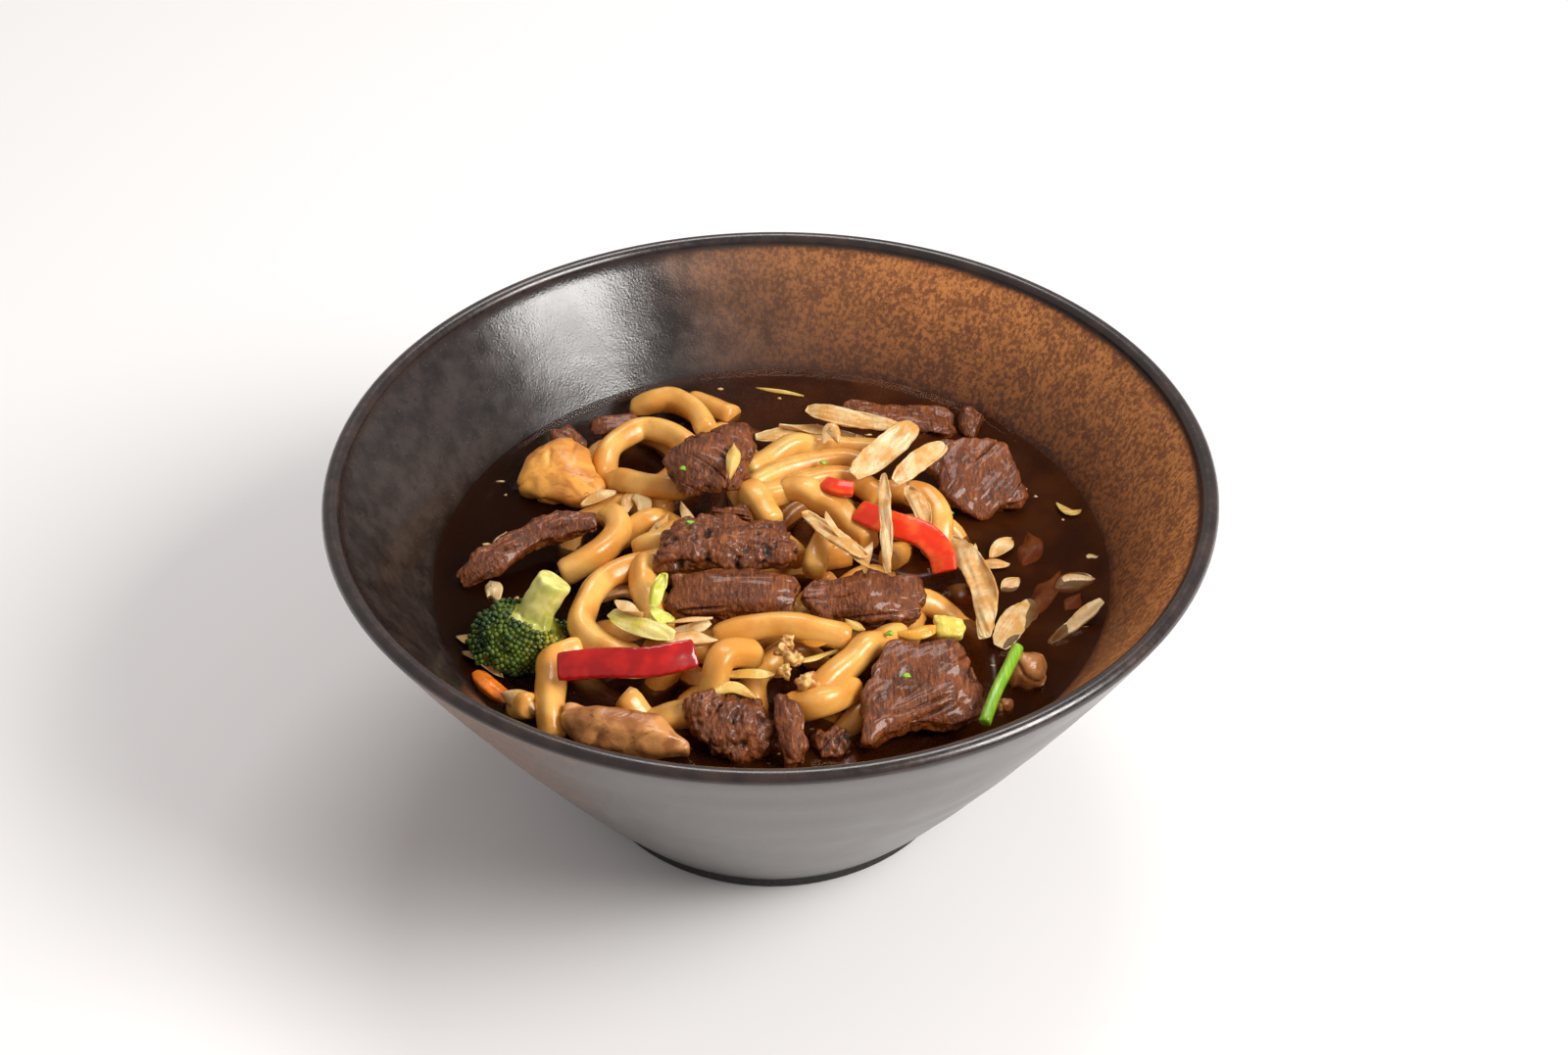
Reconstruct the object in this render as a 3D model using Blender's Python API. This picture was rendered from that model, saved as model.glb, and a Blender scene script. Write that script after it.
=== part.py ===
"""A bowl of beef udon: a conical stoneware bowl, its broth, the heap of noodles, and every topping.

Sizes in this file are millimetres, turned into Blender's metres where a mesh is made.
The frame: +Z up, origin at the middle of the face that the bowl stands on, and -Y the front.
"""

import math

import bmesh
import bpy
from mathutils import Matrix, Vector, noise
from mathutils.bvhtree import BVHTree

MM = 0.001

# Driving dimensions of the bowl
RIM_RADIUS = 105.0
HEIGHT = 93.0
LIP = 4.2  # the lip is a half round of this diameter
FOOT_RADIUS = 47.0
FOOT_HEIGHT = 5.0
FOOT_WALL = 5.0
FLOOR_TOP = 11.5  # inside, at the middle
SEGMENTS = 44

# Driving dimensions of the food
BROTH_LEVEL = 63.0
NOODLE_RADIUS = 3.4
GAP = 0.4  # between two pieces that rest on each other
BROTH_GAP = 0.9  # between the broth and what pierces it
HEAP_SECTORS = 40
HEAP_RINGS = 13

# Colour and roughness of each material
MATERIALS = {
    "glaze": ((0.16, 0.08, 0.04), 0.3),
    "broth": ((0.06, 0.02, 0.01), 0.05),
    "noodle": ((0.80, 0.58, 0.30), 0.3),
    "beef": ((0.20, 0.08, 0.04), 0.4),
    "mushroom": ((0.60, 0.36, 0.15), 0.3),
    "broccoli": ((0.30, 0.42, 0.10), 0.45),
    "pepper": ((0.65, 0.02, 0.02), 0.2),
    "cabbage": ((0.85, 0.75, 0.50), 0.35),
    "carrot": ((0.80, 0.28, 0.04), 0.3),
    "chive": ((0.25, 0.50, 0.05), 0.35),
}

# How far the heap of noodles reaches from the bowl's axis, every 45 degrees from +X
HEAP_REACH = (46, 50, 54, 66, 52, 66, 71, 60)
HEAP_CROWN = 7.0  # how far the heap's middle stands over its edge
HEAP_EDGE = 61.5  # height of the heap's edge, just under the broth

# The noodles that lie on top of the heap, each as points that its middle passes through
STRANDS = (
    ((-20, 38, 70), (-26, 46, 69), (-34, 49, 68), (-42, 39, 68), (-38, 28, 69), (-28, 22, 70), (-20, 21, 71)),
    ((-36, 65, 62), (-31, 64, 66), (-25, 63, 67), (-19, 56, 68), (-16, 47, 68)),
    ((-21, 70, 62), (-14, 64, 63), (-9, 60, 62)),
    ((-6, 25, 72), (2, 33, 71), (10, 38, 70), (21, 37, 70), (29, 37, 69)),
    ((-5, 18, 73), (4, 25, 73), (17, 30, 72), (25, 28, 71)),
    ((-3, 13, 71), (3, 15, 74), (13, 20, 74), (21, 20, 73), (27, 14, 72)),
    ((-6, 14, 74), (-2, 7, 75), (1, 1, 74)),
    ((3, 16, 72), (10, 12, 75), (17, 7, 75), (21, 3, 73), (24, -2, 71)),
    ((33, 17, 72), (38, 16, 71), (41, 11, 70), (41, 5, 68), (38, 1, 66)),
    ((13, -2, 73), (11, -8, 73), (10, -14, 71)),
    ((-40, 15, 66), (-37, 7, 69), (-40, 0, 69), (-45, -4, 68), (-51, -6, 65)),
    ((-25, -7, 71), (-39, -15, 72), (-44, -28, 71), (-42, -34, 70), (-36, -39, 70), (-30, -41, 68)),
    ((-30, -10, 71), (-30, -19, 72), (-27, -27, 72), (-25, -32, 71)),
    ((-33, -2, 69), (-27, -1, 71), (-22, 5, 71)),
    ((-13, -37, 72), (-5, -36, 74), (3, -36, 75), (11, -37, 74), (19, -38, 72)),
    ((-3, -43, 72), (-10, -47, 76), (-14, -53, 75), (-20, -56, 73), (-27, -56, 71), (-34, -52, 68)),
    ((30, -32, 69), (24, -39, 71), (17, -47, 72), (12, -52, 71), (9, -55, 69)),
    ((19, -51, 67), (13, -57, 69), (8, -58, 69), (3, -55, 67)),
    ((-44, -36, 66), (-50, -40, 69), (-50, -47, 69), (-50, -54, 67), (-49, -61, 64)),
    ((-59, -49, 64), (-54, -54, 65)),
)


def bezier(points, steps):
    """Points along a cubic Bezier through (radius, height) corners, both ends included."""
    p = [Vector(c) for c in points]
    made = []
    for i in range(steps + 1):
        t = i / steps
        s = 1 - t
        made.append(s**3 * p[0] + 3 * s * s * t * p[1] + 3 * s * t * t * p[2] + t**3 * p[3])
    return made


# The two faces of the bowl's wall: a gently bellied cone outside, a straighter one inside
OUTER_WALL = bezier(
    ((RIM_RADIUS, HEIGHT - 2), (94, 70), (66, 26), (FOOT_RADIUS + 2, FOOT_HEIGHT)), 5
)
INNER_WALL = bezier(
    ((RIM_RADIUS - LIP, HEIGHT - 2), (70, 53), (60, FLOOR_TOP), (22, FLOOR_TOP)), 6
)


def inner_radius(height):
    """The bowl's inside radius at a height."""
    for upper, lower in zip(INNER_WALL, INNER_WALL[1:]):
        if lower.y <= height <= upper.y:
            t = (height - lower.y) / (upper.y - lower.y)
            return lower.x + t * (upper.x - lower.x)
    return INNER_WALL[0].x if height > INNER_WALL[0].y else INNER_WALL[-1].x


def material(name):
    """The named material, made once."""
    found = bpy.data.materials.get(name)
    if found:
        return found
    colour, roughness = MATERIALS[name]
    made = bpy.data.materials.new(name)
    made.use_nodes = True
    shader = made.node_tree.nodes["Principled BSDF"]
    shader.inputs["Base Color"].default_value = (*colour, 1)
    shader.inputs["Roughness"].default_value = roughness
    made.diffuse_color = (*colour, 1)
    return made


def add_object(name, mesh, finish):
    """A new object from points and faces in millimetres, or from a bmesh in metres."""
    data = bpy.data.meshes.new(name)
    if isinstance(mesh, bmesh.types.BMesh):
        work = mesh
    else:
        points, faces = mesh
        work = bmesh.new()
        verts = [work.verts.new(Vector(p) * MM) for p in points]
        for face in faces:
            work.faces.new([verts[i] for i in face])
    bmesh.ops.recalc_face_normals(work, faces=work.faces)
    bmesh.ops.triangulate(work, faces=[f for f in work.faces if len(f.verts) > 4])
    work.to_mesh(data)
    work.free()
    data.shade_smooth()
    data.materials.append(material(finish))
    obj = bpy.data.objects.new(name, data)
    bpy.context.scene.collection.objects.link(obj)
    return obj


def turned(profile, segments=SEGMENTS):
    """Points and faces of a closed profile of (radius, height) turned about +Z.

    A profile's ends that lie on the axis become one point each, and any other profile is a ring.
    """
    points, rows = [], []
    for radius, height in profile:
        count = 1 if radius < 1e-6 else segments
        rows.append(range(len(points), len(points) + count))
        for k in range(count):
            a = 2 * math.pi * k / segments
            points.append((radius * math.cos(a), radius * math.sin(a), height))
    pairs = list(zip(rows, rows[1:]))
    if len(rows[0]) > 1:
        pairs.append((rows[-1], rows[0]))
    faces = []
    for low, high in pairs:
        for k in range(segments):
            n = (k + 1) % segments
            corners = [low[k % len(low)], low[n % len(low)], high[n % len(high)], high[k % len(high)]]
            faces.append(list(dict.fromkeys(corners)))
    return points, faces


def half_round(centre, radius, start, end, steps):
    """Points on an arc from start to end degrees, ends left out."""
    made = []
    for i in range(1, steps):
        a = math.radians(start + (end - start) * i / steps)
        made.append(Vector((centre[0] + radius * math.cos(a), centre[1] + radius * math.sin(a))))
    return made


def make_bowl():
    """The conical bowl: foot ring, bellied wall and rounded lip."""
    foot = [
        (0, FOOT_HEIGHT - 1.5),
        (FOOT_RADIUS - FOOT_WALL - 1, FOOT_HEIGHT - 1.5),
        (FOOT_RADIUS - FOOT_WALL, 0.6),
        (FOOT_RADIUS - FOOT_WALL + 0.8, 0),
        (FOOT_RADIUS - 0.8, 0),
        (FOOT_RADIUS, 0.8),
        (FOOT_RADIUS + 0.3, FOOT_HEIGHT - 0.8),
    ]
    lip_middle = (RIM_RADIUS - LIP / 2, HEIGHT - LIP / 2)
    lip = half_round(lip_middle, LIP / 2, 0, 180, 4)
    outside = list(reversed(OUTER_WALL))
    profile = foot + outside + lip + INNER_WALL + [(0, FLOOR_TOP)]
    return add_object("bowl", turned([tuple(p) for p in profile]), "glaze")


def spline(points, steps):
    """A smooth curve through the points: steps samples to each stretch, as a Catmull-Rom spline."""
    p = [Vector(c) for c in points]
    p = [2 * p[0] - p[1], *p, 2 * p[-1] - p[-2]]
    made = []
    for a, b, c, d in zip(p, p[1:], p[2:], p[3:]):
        for i in range(steps):
            t = i / steps
            square, cube = 2 * a - 5 * b + 4 * c - d, 3 * b - a - 3 * c + d
            made.append(0.5 * (2 * b + (c - a) * t + square * t**2 + cube * t**3))
    return [*made, p[-2]]


def patch(corners, thick, bulge=0.0, dome=0.0, rounding=0.5, ragged=0.1, ripple=0.0, seed=0, cuts=(6, 4)):
    """Points and faces of a slice of food whose middle face spans four corners.

    The corners are the left rear, right rear, right front and left front ones.
    bulge lifts the slice's middle by that much, and dome lifts only its upper face.
    rounding turns the outline from four straight sides (0) to an ellipse (1), and ragged makes it
    uneven; ripple is the height of its unevenness, and seed picks which uneven shape it has.
    """
    rear_left, rear_right, front_right, front_left = (Vector(c) for c in corners)
    up = (rear_right - front_left).cross(rear_left - front_right).normalized()
    rows, cols = cuts

    def point(i, j, side):
        u, v = 2 * i / rows - 1, 2 * j / cols - 1
        x = u * math.sqrt(1 - rounding * v * v / 2)
        y = v * math.sqrt(1 - rounding * u * u / 2)
        reach = max(abs(u), abs(v))
        turn = math.atan2(y, x)
        rim = Vector((1.7 * math.cos(turn), 1.7 * math.sin(turn), seed * 7.3))
        grow = 1 + ragged * 2.2 * reach * noise.noise(rim)
        right, rear = (1 + x * grow) / 2, (1 + y * grow) / 2
        at = rear_left.lerp(rear_right, right) * rear + front_left.lerp(front_right, right) * (1 - rear)
        lift = (bulge + dome * (side > 0)) * (1 - reach**2)
        lift += ripple * noise.noise(Vector((at.x / 9, at.y / 9, seed * 3.1)))
        return at + up * (lift + side * thick / 2 * (1 - 0.45 * reach**3))

    points, index = [], {}
    for side in (1, -1):
        for i in range(rows + 1):
            for j in range(cols + 1):
                index[side, i, j] = len(points)
                points.append(point(i, j, side))
    faces = []
    for side in (1, -1):
        for i in range(rows):
            for j in range(cols):
                ring = ((i, j), (i + 1, j), (i + 1, j + 1), (i, j + 1))
                faces.append([index[(side, *c)] for c in ring[::side]])
    edge = [(i, 0) for i in range(rows)] + [(rows, j) for j in range(cols)]
    edge += [(i, cols) for i in range(rows, 0, -1)] + [(0, j) for j in range(cols, 0, -1)]
    for a, b in zip(edge, edge[1:] + edge[:1]):
        faces.append([index[(-1, *a)], index[(-1, *b)], index[(1, *b)], index[(1, *a)]])
    return points, faces


def strip(route, width, thick, roll=0, taper=0.35, sides=6, steps=4, blunt=0.75):
    """Points and faces of a long strip along a route: an oval section that narrows to its ends.

    roll turns the wide face from level towards the front, in degrees. blunt squares the section.
    """
    line = spline(route, steps)
    points, faces = [], []
    for i, middle in enumerate(line):
        t = i / (len(line) - 1)
        along = (line[min(i + 1, len(line) - 1)] - line[max(i - 1, 0)]).normalized()
        side = along.cross(Vector((0, 0, 1))).normalized()
        turn = Matrix.Rotation(math.radians(roll), 3, along)
        side, up = turn @ side, turn @ side.cross(along)
        fit = 1 - taper * abs(2 * t - 1) ** 3
        for k in range(sides):
            a = 2 * math.pi * (k + 0.5) / sides
            x = math.copysign(abs(math.cos(a)) ** blunt, math.cos(a))
            y = math.copysign(abs(math.sin(a)) ** blunt, math.sin(a))
            points.append(middle + side * (x * width / 2 * fit) + up * (y * thick / 2 * fit))
    for i in range(len(line) - 1):
        for k in range(sides):
            n = (k + 1) % sides
            row, after = i * sides, (i + 1) * sides
            faces.append([row + k, row + n, after + n, after + k])
    faces.append(list(range(sides))[::-1])
    faces.append([(len(line) - 1) * sides + k for k in range(sides)])
    return points, faces


def make_beef():
    """Braised beef: broad slices, folded ones, small trimmings and two long strips."""
    slices = {
        "beef_rear": ((19, 65, 65), (48, 62, 65), (47, 50, 63), (21, 57, 62)),
        "beef_rear_end": ((50, 59, 66), (55, 57, 66), (52, 50, 63), (49, 53, 63)),
        "beef_rear_left": ((-49, 59, 64), (-35, 60, 64), (-35, 55, 62), (-47, 53, 62)),
        "beef_rear_corner": ((-58, 52, 66), (-51, 53, 66), (-47, 46, 64), (-54, 45, 64)),
        "beef_right": ((38, 35, 73), (61, 38, 72), (64, 18, 64), (43, 18, 65)),
        "beef_top": ((-28, 25, 80), (-4, 35, 81), (-5, 11, 79), (-22, 10, 77)),
        "beef_middle_back": ((-15, 7, 76), (-6, 7, 76), (-4, 1, 75), (-14, 2, 75)),
        "beef_middle_fold": ((-22, 0, 78), (3, -2, 77), (9, -16, 77), (-29, -17, 77)),
        "beef_middle": ((-27, -18, 75), (8, -18, 75), (5, -30, 71), (-24, -29, 71)),
        "beef_middle_right": ((9, -20, 75), (37, -17, 74), (36, -30, 70), (8, -29, 71)),
        "beef_front_right": ((25, -43, 75), (42, -43, 74), (51, -59, 67), (19, -69, 67)),
        "beef_front": ((-21, -56, 70), (-1, -55, 70), (0, -69, 65), (-14, -69, 65)),
        "beef_front_small": ((10, -62, 66), (17, -61, 66), (18, -67, 63), (10, -69, 63)),
    }
    # Thickness and form of the larger slices; the trimmings are all alike
    trimming = (4.5, dict(ripple=1))
    forms = {
        "beef_rear": (5, dict(ripple=2)),
        "beef_right": (6, dict(rounding=0.3, ripple=2)),
        "beef_top": (5, dict(bulge=2.5, rounding=0.6)),
        "beef_middle_fold": (7, dict(bulge=1, rounding=0.3, ripple=2)),
        "beef_middle": (9, dict(bulge=1, rounding=0.3)),
        "beef_middle_right": (7, dict(rounding=0.3, ragged=0.16, ripple=3)),
        "beef_front_right": (7, dict(rounding=0.3, ripple=2)),
        "beef_front": (7, dict(bulge=1, ripple=2)),
    }
    made = []
    for seed, (name, corners) in enumerate(slices.items(), 1):
        thick, form = forms.get(name, trimming)
        made.append(add_object(name, patch(corners, thick, seed=seed, **form), "beef"))
    left = ((-75, -7, 64), (-69, -4, 67), (-61, 2, 69), (-53, 6, 70), (-42, 7, 71))
    fold = ((2, -57, 72), (4, -65, 71), (5, -73, 66))
    made.append(add_object("beef_left", strip(left, 8, 6, roll=20, taper=0.4), "beef"))
    made.append(add_object("beef_front_fold", strip(fold, 6, 5, roll=10, taper=0.3), "beef"))
    return made


def make_mushrooms():
    """Shiitake pieces, each as its corners, thickness, dome and rounding."""
    caps = {
        "mushroom_left": (((-60, 42, 69), (-44, 41, 69), (-40, 21, 66), (-68, 26, 63)), 7, 2.5, 0.7),
        "mushroom_front": (((-47, -54, 68), (-23, -59, 68), (-17, -69, 65), (-46, -66, 64)), 9, 2.5, 0.45),
        "mushroom_right": (((54, -37, 66), (63, -37, 66), (63, -45, 62), (54, -46, 62)), 6, 3, 0.7),
        "mushroom_small": (((51, -49, 63), (56, -49, 63), (55, -53, 62), (51, -53, 62)), 4, 1, 0.7),
    }
    made = []
    for seed, (name, (corners, thick, dome, rounding)) in enumerate(caps.items(), 21):
        shape = patch(corners, thick, dome=dome, rounding=rounding, seed=seed)
        made.append(add_object(name, shape, "mushroom"))
    return made


def make_cabbage():
    """Strips of pale cabbage, each as its route, width, thickness and roll, and a piece of its core."""
    strips = {
        "cabbage_fan": (((20, 16, 78), (28, 25, 79), (36, 34, 80)), 8.0, 1.6, 25),
        "cabbage_fan_right": (((30, 12, 79), (36, 19, 80), (43, 27, 79)), 6.0, 1.6, 25),
        "cabbage_fan_low": (((33, 13, 77), (36, 5, 77), (37, 0, 74)), 5.0, 1.6, 10),
        "cabbage_rear": (((9, 51, 73), (18, 46, 74), (33, 41, 74)), 6.0, 1.8, 15),
        "cabbage_rear_low": (((-4, 47, 67), (9, 47, 68), (25, 43, 68)), 6.5, 1.6, 5),
        "cabbage_upright": (((27, 9, 84), (27, -7, 84), (27, -24, 80)), 3.6, 1.8, 20),
        "cabbage_split": (((8, 1, 79), (15, -10, 80), (22, -19, 81)), 6.0, 1.6, -10),
        "cabbage_right": (((43, 4, 68), (47, -8, 71), (50, -22, 72), (49, -37, 71)), 7.0, 1.8, 20),
        "cabbage_floating": (((63, -14, 62), (57, -23, 64), (53, -32, 64)), 7.5, 1.8, -15),
        "cabbage_tip": (((65, -28, 62), (72, -23, 64), (78, -19, 67)), 4.0, 2.0, 0),
        "cabbage_left": (((-37, -31, 75), (-31, -38, 77), (-22, -42, 77)), 6.0, 1.8, 15),
        "cabbage_frill": (((-25, -22, 79), (-26, -28, 79), (-27, -33, 78)), 4.0, 1.8, 10),
        "cabbage_tail": (((-23, -36, 73), (-18, -36, 74), (-14, -34, 74)), 3.6, 1.6, 10),
    }
    made = []
    for name, (route, width, thick, roll) in strips.items():
        made.append(add_object(name, strip(route, width, thick, roll, taper=0.55), "cabbage"))
    core = ((37, -31, 73), (45, -32, 73), (44, -37, 71), (38, -37, 71))
    made.append(add_object("cabbage_core", patch(core, 5, seed=31, cuts=(4, 4)), "cabbage"))
    return made


def make_peppers_and_carrot():
    """Red pepper strips with square-cut ends, and a cut carrot piece."""
    front = ((-48, -50, 75), (-38, -51, 77), (-27, -52, 78), (-17, -49, 78))
    back = ((21, 6, 75), (29, -2, 77), (36, -6, 77), (40, -10, 75), (41, -14, 72))
    bit = ((13, 13, 78), (16, 10, 79), (20, 9, 79))
    carrot = ((-68, -38, 62.5), (-65, -44, 64), (-60, -48, 63))
    return [
        add_object("pepper_front", strip(front, 7.5, 2.8, roll=38, taper=0.06, blunt=0.45), "pepper"),
        add_object("pepper_back", strip(back, 7.0, 2.6, roll=28, taper=0.12, blunt=0.45), "pepper"),
        add_object("pepper_bit", strip(bit, 4.4, 2.4, roll=20, taper=0.1, blunt=0.45), "pepper"),
        add_object("carrot_piece", strip(carrot, 5.0, 4.0, taper=0.3), "carrot"),
    ]


def make_chive():
    """A cut length of chive stem, resting on the beef and the mushroom beside it."""
    route = ((56, -43, 73.5), (53, -51, 74), (50, -58, 73.5), (47, -66, 71.5))
    return add_object("chive", strip(route, 3.0, 3.0, taper=0, blunt=1, sides=8), "chive")


def make_broccoli():
    """A broccoli floret: a domed crown of buds, with a stem that forks just above it."""
    crown_middle = Vector((-59, -29, 65))
    stem_top = Vector((-50, -24, 79))
    crown = bmesh.new()
    bmesh.ops.create_icosphere(crown, subdivisions=2, radius=1)
    for vert in crown.verts:
        bud = noise.voronoi(vert.co * 2.1, distance_metric="DISTANCE")[0][0]
        vert.co *= 1 + 0.28 * (0.55 - bud)
        vert.co = Vector((vert.co.x * 10.5, vert.co.y * 10.0, vert.co.z * 7.5))
        vert.co = (vert.co + crown_middle) * MM
    crown = add_object("broccoli", crown, "broccoli")
    # Each limb: its start from the crown's middle, its bend from halfway up, its end from the stem's
    # top, and its width
    limbs = (
        ((2, 1, 1), (0, 0, 0), (0, 0, 0), 9),
        ((5, -5, 0), (1.5, -2, -1), (-3, -2, -3), 5),
        ((-3, 6, 0), (-1, 2, -1), (-4, -1, -4), 5),
    )
    halfway = crown_middle.lerp(stem_top, 0.5)
    for i, (start, bend, end, width) in enumerate(limbs):
        route = (crown_middle + Vector(start), halfway + Vector(bend), stem_top + Vector(end))
        shape = strip(route, width, width, taper=0, blunt=1, sides=8)
        limb = add_object(f"broccoli_limb_{i}", shape, "broccoli")
        limb.hide_render = True
        limb.display_type = "WIRE"
        join = crown.modifiers.new(f"limb_{i}", "BOOLEAN")
        join.operation = "UNION"
        join.object = limb
    settle(crown)
    return crown


def largest_island(work):
    """Deletes from a bmesh every loose piece but the one with the most faces."""
    left = set(work.faces)
    islands = []
    while left:
        todo, island = [left.pop()], []
        while todo:
            face = todo.pop()
            island.append(face)
            for edge in face.edges:
                across = edge.link_faces if len(edge.link_faces) == 2 else ()
                for other in across:
                    if other in left:
                        left.remove(other)
                        todo.append(other)
        islands.append(island)
    islands.sort(key=len)
    spare = [face for island in islands[:-1] for face in island]
    bmesh.ops.delete(work, geom=spare, context="FACES")


def settle(obj):
    """Applies the object's modifiers and keeps only its main body, without thin leftovers."""
    bpy.context.view_layer.update()
    graph = bpy.context.evaluated_depsgraph_get()
    work = bmesh.new()
    work.from_mesh(bpy.data.meshes.new_from_object(obj.evaluated_get(graph)))
    obj.modifiers.clear()
    largest_island(work)
    bmesh.ops.dissolve_degenerate(work, dist=0.00001, edges=work.edges)
    bmesh.ops.triangulate(work, faces=work.faces)
    work.to_mesh(obj.data)
    work.free()
    obj.data.shade_smooth()


def cutter_of(obj, clearance):
    """A copy of the object that stands clearance millimetres proud of it, for cutting its seat."""
    copy = bpy.data.objects.new(obj.name + "_seat", obj.data.copy())
    bpy.context.scene.collection.objects.link(copy)
    grow = copy.modifiers.new("clearance", "DISPLACE")
    grow.mid_level = 0
    grow.strength = clearance * MM
    copy.hide_render = True
    copy.display_type = "WIRE"
    return copy


def cut(obj, cutters):
    """Cuts each cutter's space out of the object."""
    for cutter in cutters:
        hole = obj.modifiers.new(cutter.name, "BOOLEAN")
        hole.operation = "DIFFERENCE"
        hole.solver = "MANIFOLD"
        hole.object = cutter
    settle(obj)


def lowest_over(tree, x, y, reach):
    """The lowest height of any topping over a point, or within reach of it, or None."""
    found = None
    for k in range(9):
        a = math.pi * k / 4
        away = reach if k < 8 else 0
        start = Vector((x + away * math.cos(a), y + away * math.sin(a), 0)) * MM
        hit = tree.ray_cast(start, Vector((0, 0, 1)))[0]
        if hit and (found is None or hit.z / MM < found):
            found = hit.z / MM
    return found


def heap_reach(angle):
    """How far the heap reaches at an angle, easing between the values of HEAP_REACH."""
    place = angle / (2 * math.pi) * len(HEAP_REACH)
    k = int(place)
    ease = (1 - math.cos(math.pi * (place - k))) / 2
    a, b = HEAP_REACH[k % len(HEAP_REACH)], HEAP_REACH[(k + 1) % len(HEAP_REACH)]
    return a + (b - a) * ease


def heap_shape(toppings, grow=0.0):
    """Points and faces of the heap of noodles: a mound from the bowl's floor up.

    The top noodles stand on it in relief, and it dips under each topping, so that the topping
    lies in it. grow makes it that many millimetres higher and wider.
    """
    graph = bpy.context.evaluated_depsgraph_get()
    joined = bmesh.new()
    for obj in toppings:
        joined.from_object(obj, graph)
    tree = BVHTree.FromBMesh(joined)
    lines = [spline(s, 6) for s in STRANDS]

    def height(x, y, share):
        z = HEAP_EDGE + HEAP_CROWN * (1 - share**2)
        z += 1.2 * noise.noise(Vector((x / 11, y / 11, 4)))
        for line in lines:
            near = min(line, key=lambda p: (p.x - x) ** 2 + (p.y - y) ** 2)
            away = math.hypot(near.x - x, near.y - y)
            if away < NOODLE_RADIUS:
                z = max(z, near.z + math.sqrt(NOODLE_RADIUS**2 - away**2))
        low = lowest_over(tree, x, y, 2.2)
        return z if low is None else min(z, low - GAP)

    points = [(0, 0, height(0, 0, 0) + grow)]
    sectors = range(HEAP_SECTORS)
    for ring in range(1, HEAP_RINGS + 1):
        share = ring / HEAP_RINGS
        for k in sectors:
            a = 2 * math.pi * k / HEAP_SECTORS
            r = heap_reach(a) * share
            top = height(r * math.cos(a), r * math.sin(a), share) + grow
            r += grow * (share == 1)
            points.append((r * math.cos(a), r * math.sin(a), top))
    flanks = (52, 36, 20, FLOOR_TOP + GAP)
    for z in flanks:
        for k in sectors:
            a = 2 * math.pi * k / HEAP_SECTORS
            r = min(heap_reach(a), inner_radius(z) - 3.0) + grow
            points.append((r * math.cos(a), r * math.sin(a), z - grow))
    faces = [[0, 1 + k, 1 + (k + 1) % HEAP_SECTORS] for k in sectors]
    for ring in range(HEAP_RINGS + len(flanks) - 1):
        row = 1 + ring * HEAP_SECTORS
        for k in sectors:
            n = (k + 1) % HEAP_SECTORS
            faces.append([row + k, row + HEAP_SECTORS + k, row + HEAP_SECTORS + n])
            faces.append([row + k, row + HEAP_SECTORS + n, row + n])
    last = len(points) - HEAP_SECTORS
    faces.append([last + k for k in sectors])
    joined.free()
    return points, faces


def make_noodles(toppings):
    """The heap of noodles, with a seat cut for each topping."""
    noodles = add_object("noodles", heap_shape(toppings), "noodle")
    cut(noodles, [cutter_of(obj, GAP) for obj in toppings])


def make_broth(toppings):
    """The broth: it fills the bowl to its level, round the noodles and the toppings that dip in it."""
    wall = [p for p in INNER_WALL if p.y < BROTH_LEVEL - 1]
    top = inner_radius(BROTH_LEVEL)
    profile = [(0, BROTH_LEVEL), (top - GAP, BROTH_LEVEL)]
    profile += [(p.x - GAP, p.y + GAP) for p in wall] + [(0, FLOOR_TOP + GAP)]
    broth = add_object("broth", turned(profile), "broth")
    dipping = [t for t in toppings if min(v.co.z for v in t.data.vertices) < (BROTH_LEVEL + GAP) * MM]
    heap = add_object("noodles_seat", heap_shape(toppings, BROTH_GAP), "noodle")
    heap.hide_render = True
    heap.display_type = "WIRE"
    cut(broth, [heap, *(cutter_of(obj, BROTH_GAP) for obj in dipping)])
    return broth


def main():
    for obj in list(bpy.data.objects):
        bpy.data.objects.remove(obj)
    make_bowl()
    toppings = [
        *make_beef(),
        *make_mushrooms(),
        *make_cabbage(),
        *make_peppers_and_carrot(),
        make_chive(),
        make_broccoli(),
    ]
    make_noodles(toppings)
    make_broth(toppings)


main()
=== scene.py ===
"""The finished look of a bowl of beef udon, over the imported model's frame.

Positions and sizes in this file are millimetres in the row frame, and MM turns them into metres
where a mesh is made. The bowl stands on z = 0, and -Y is its front.
"""

import math
import random

import bmesh
import bpy
import numpy as np
from mathutils import Matrix, Vector
from mathutils.bvhtree import BVHTree
from mathutils.noise import noise, voronoi


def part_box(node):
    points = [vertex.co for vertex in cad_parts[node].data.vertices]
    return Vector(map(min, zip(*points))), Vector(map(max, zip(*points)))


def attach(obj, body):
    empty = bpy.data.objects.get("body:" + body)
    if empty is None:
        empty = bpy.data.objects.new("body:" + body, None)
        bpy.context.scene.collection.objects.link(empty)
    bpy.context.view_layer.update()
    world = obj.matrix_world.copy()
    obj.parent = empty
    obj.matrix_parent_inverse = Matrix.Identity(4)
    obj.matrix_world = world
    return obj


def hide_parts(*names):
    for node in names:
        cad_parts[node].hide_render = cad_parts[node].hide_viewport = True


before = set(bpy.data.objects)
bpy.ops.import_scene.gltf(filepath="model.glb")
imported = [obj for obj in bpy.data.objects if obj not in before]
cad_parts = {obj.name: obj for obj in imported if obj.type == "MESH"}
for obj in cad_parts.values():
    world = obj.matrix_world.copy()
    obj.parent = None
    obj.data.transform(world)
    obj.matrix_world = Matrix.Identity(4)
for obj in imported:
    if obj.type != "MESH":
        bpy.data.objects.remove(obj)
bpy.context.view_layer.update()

MM = 0.001
BODY = "root"

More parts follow.
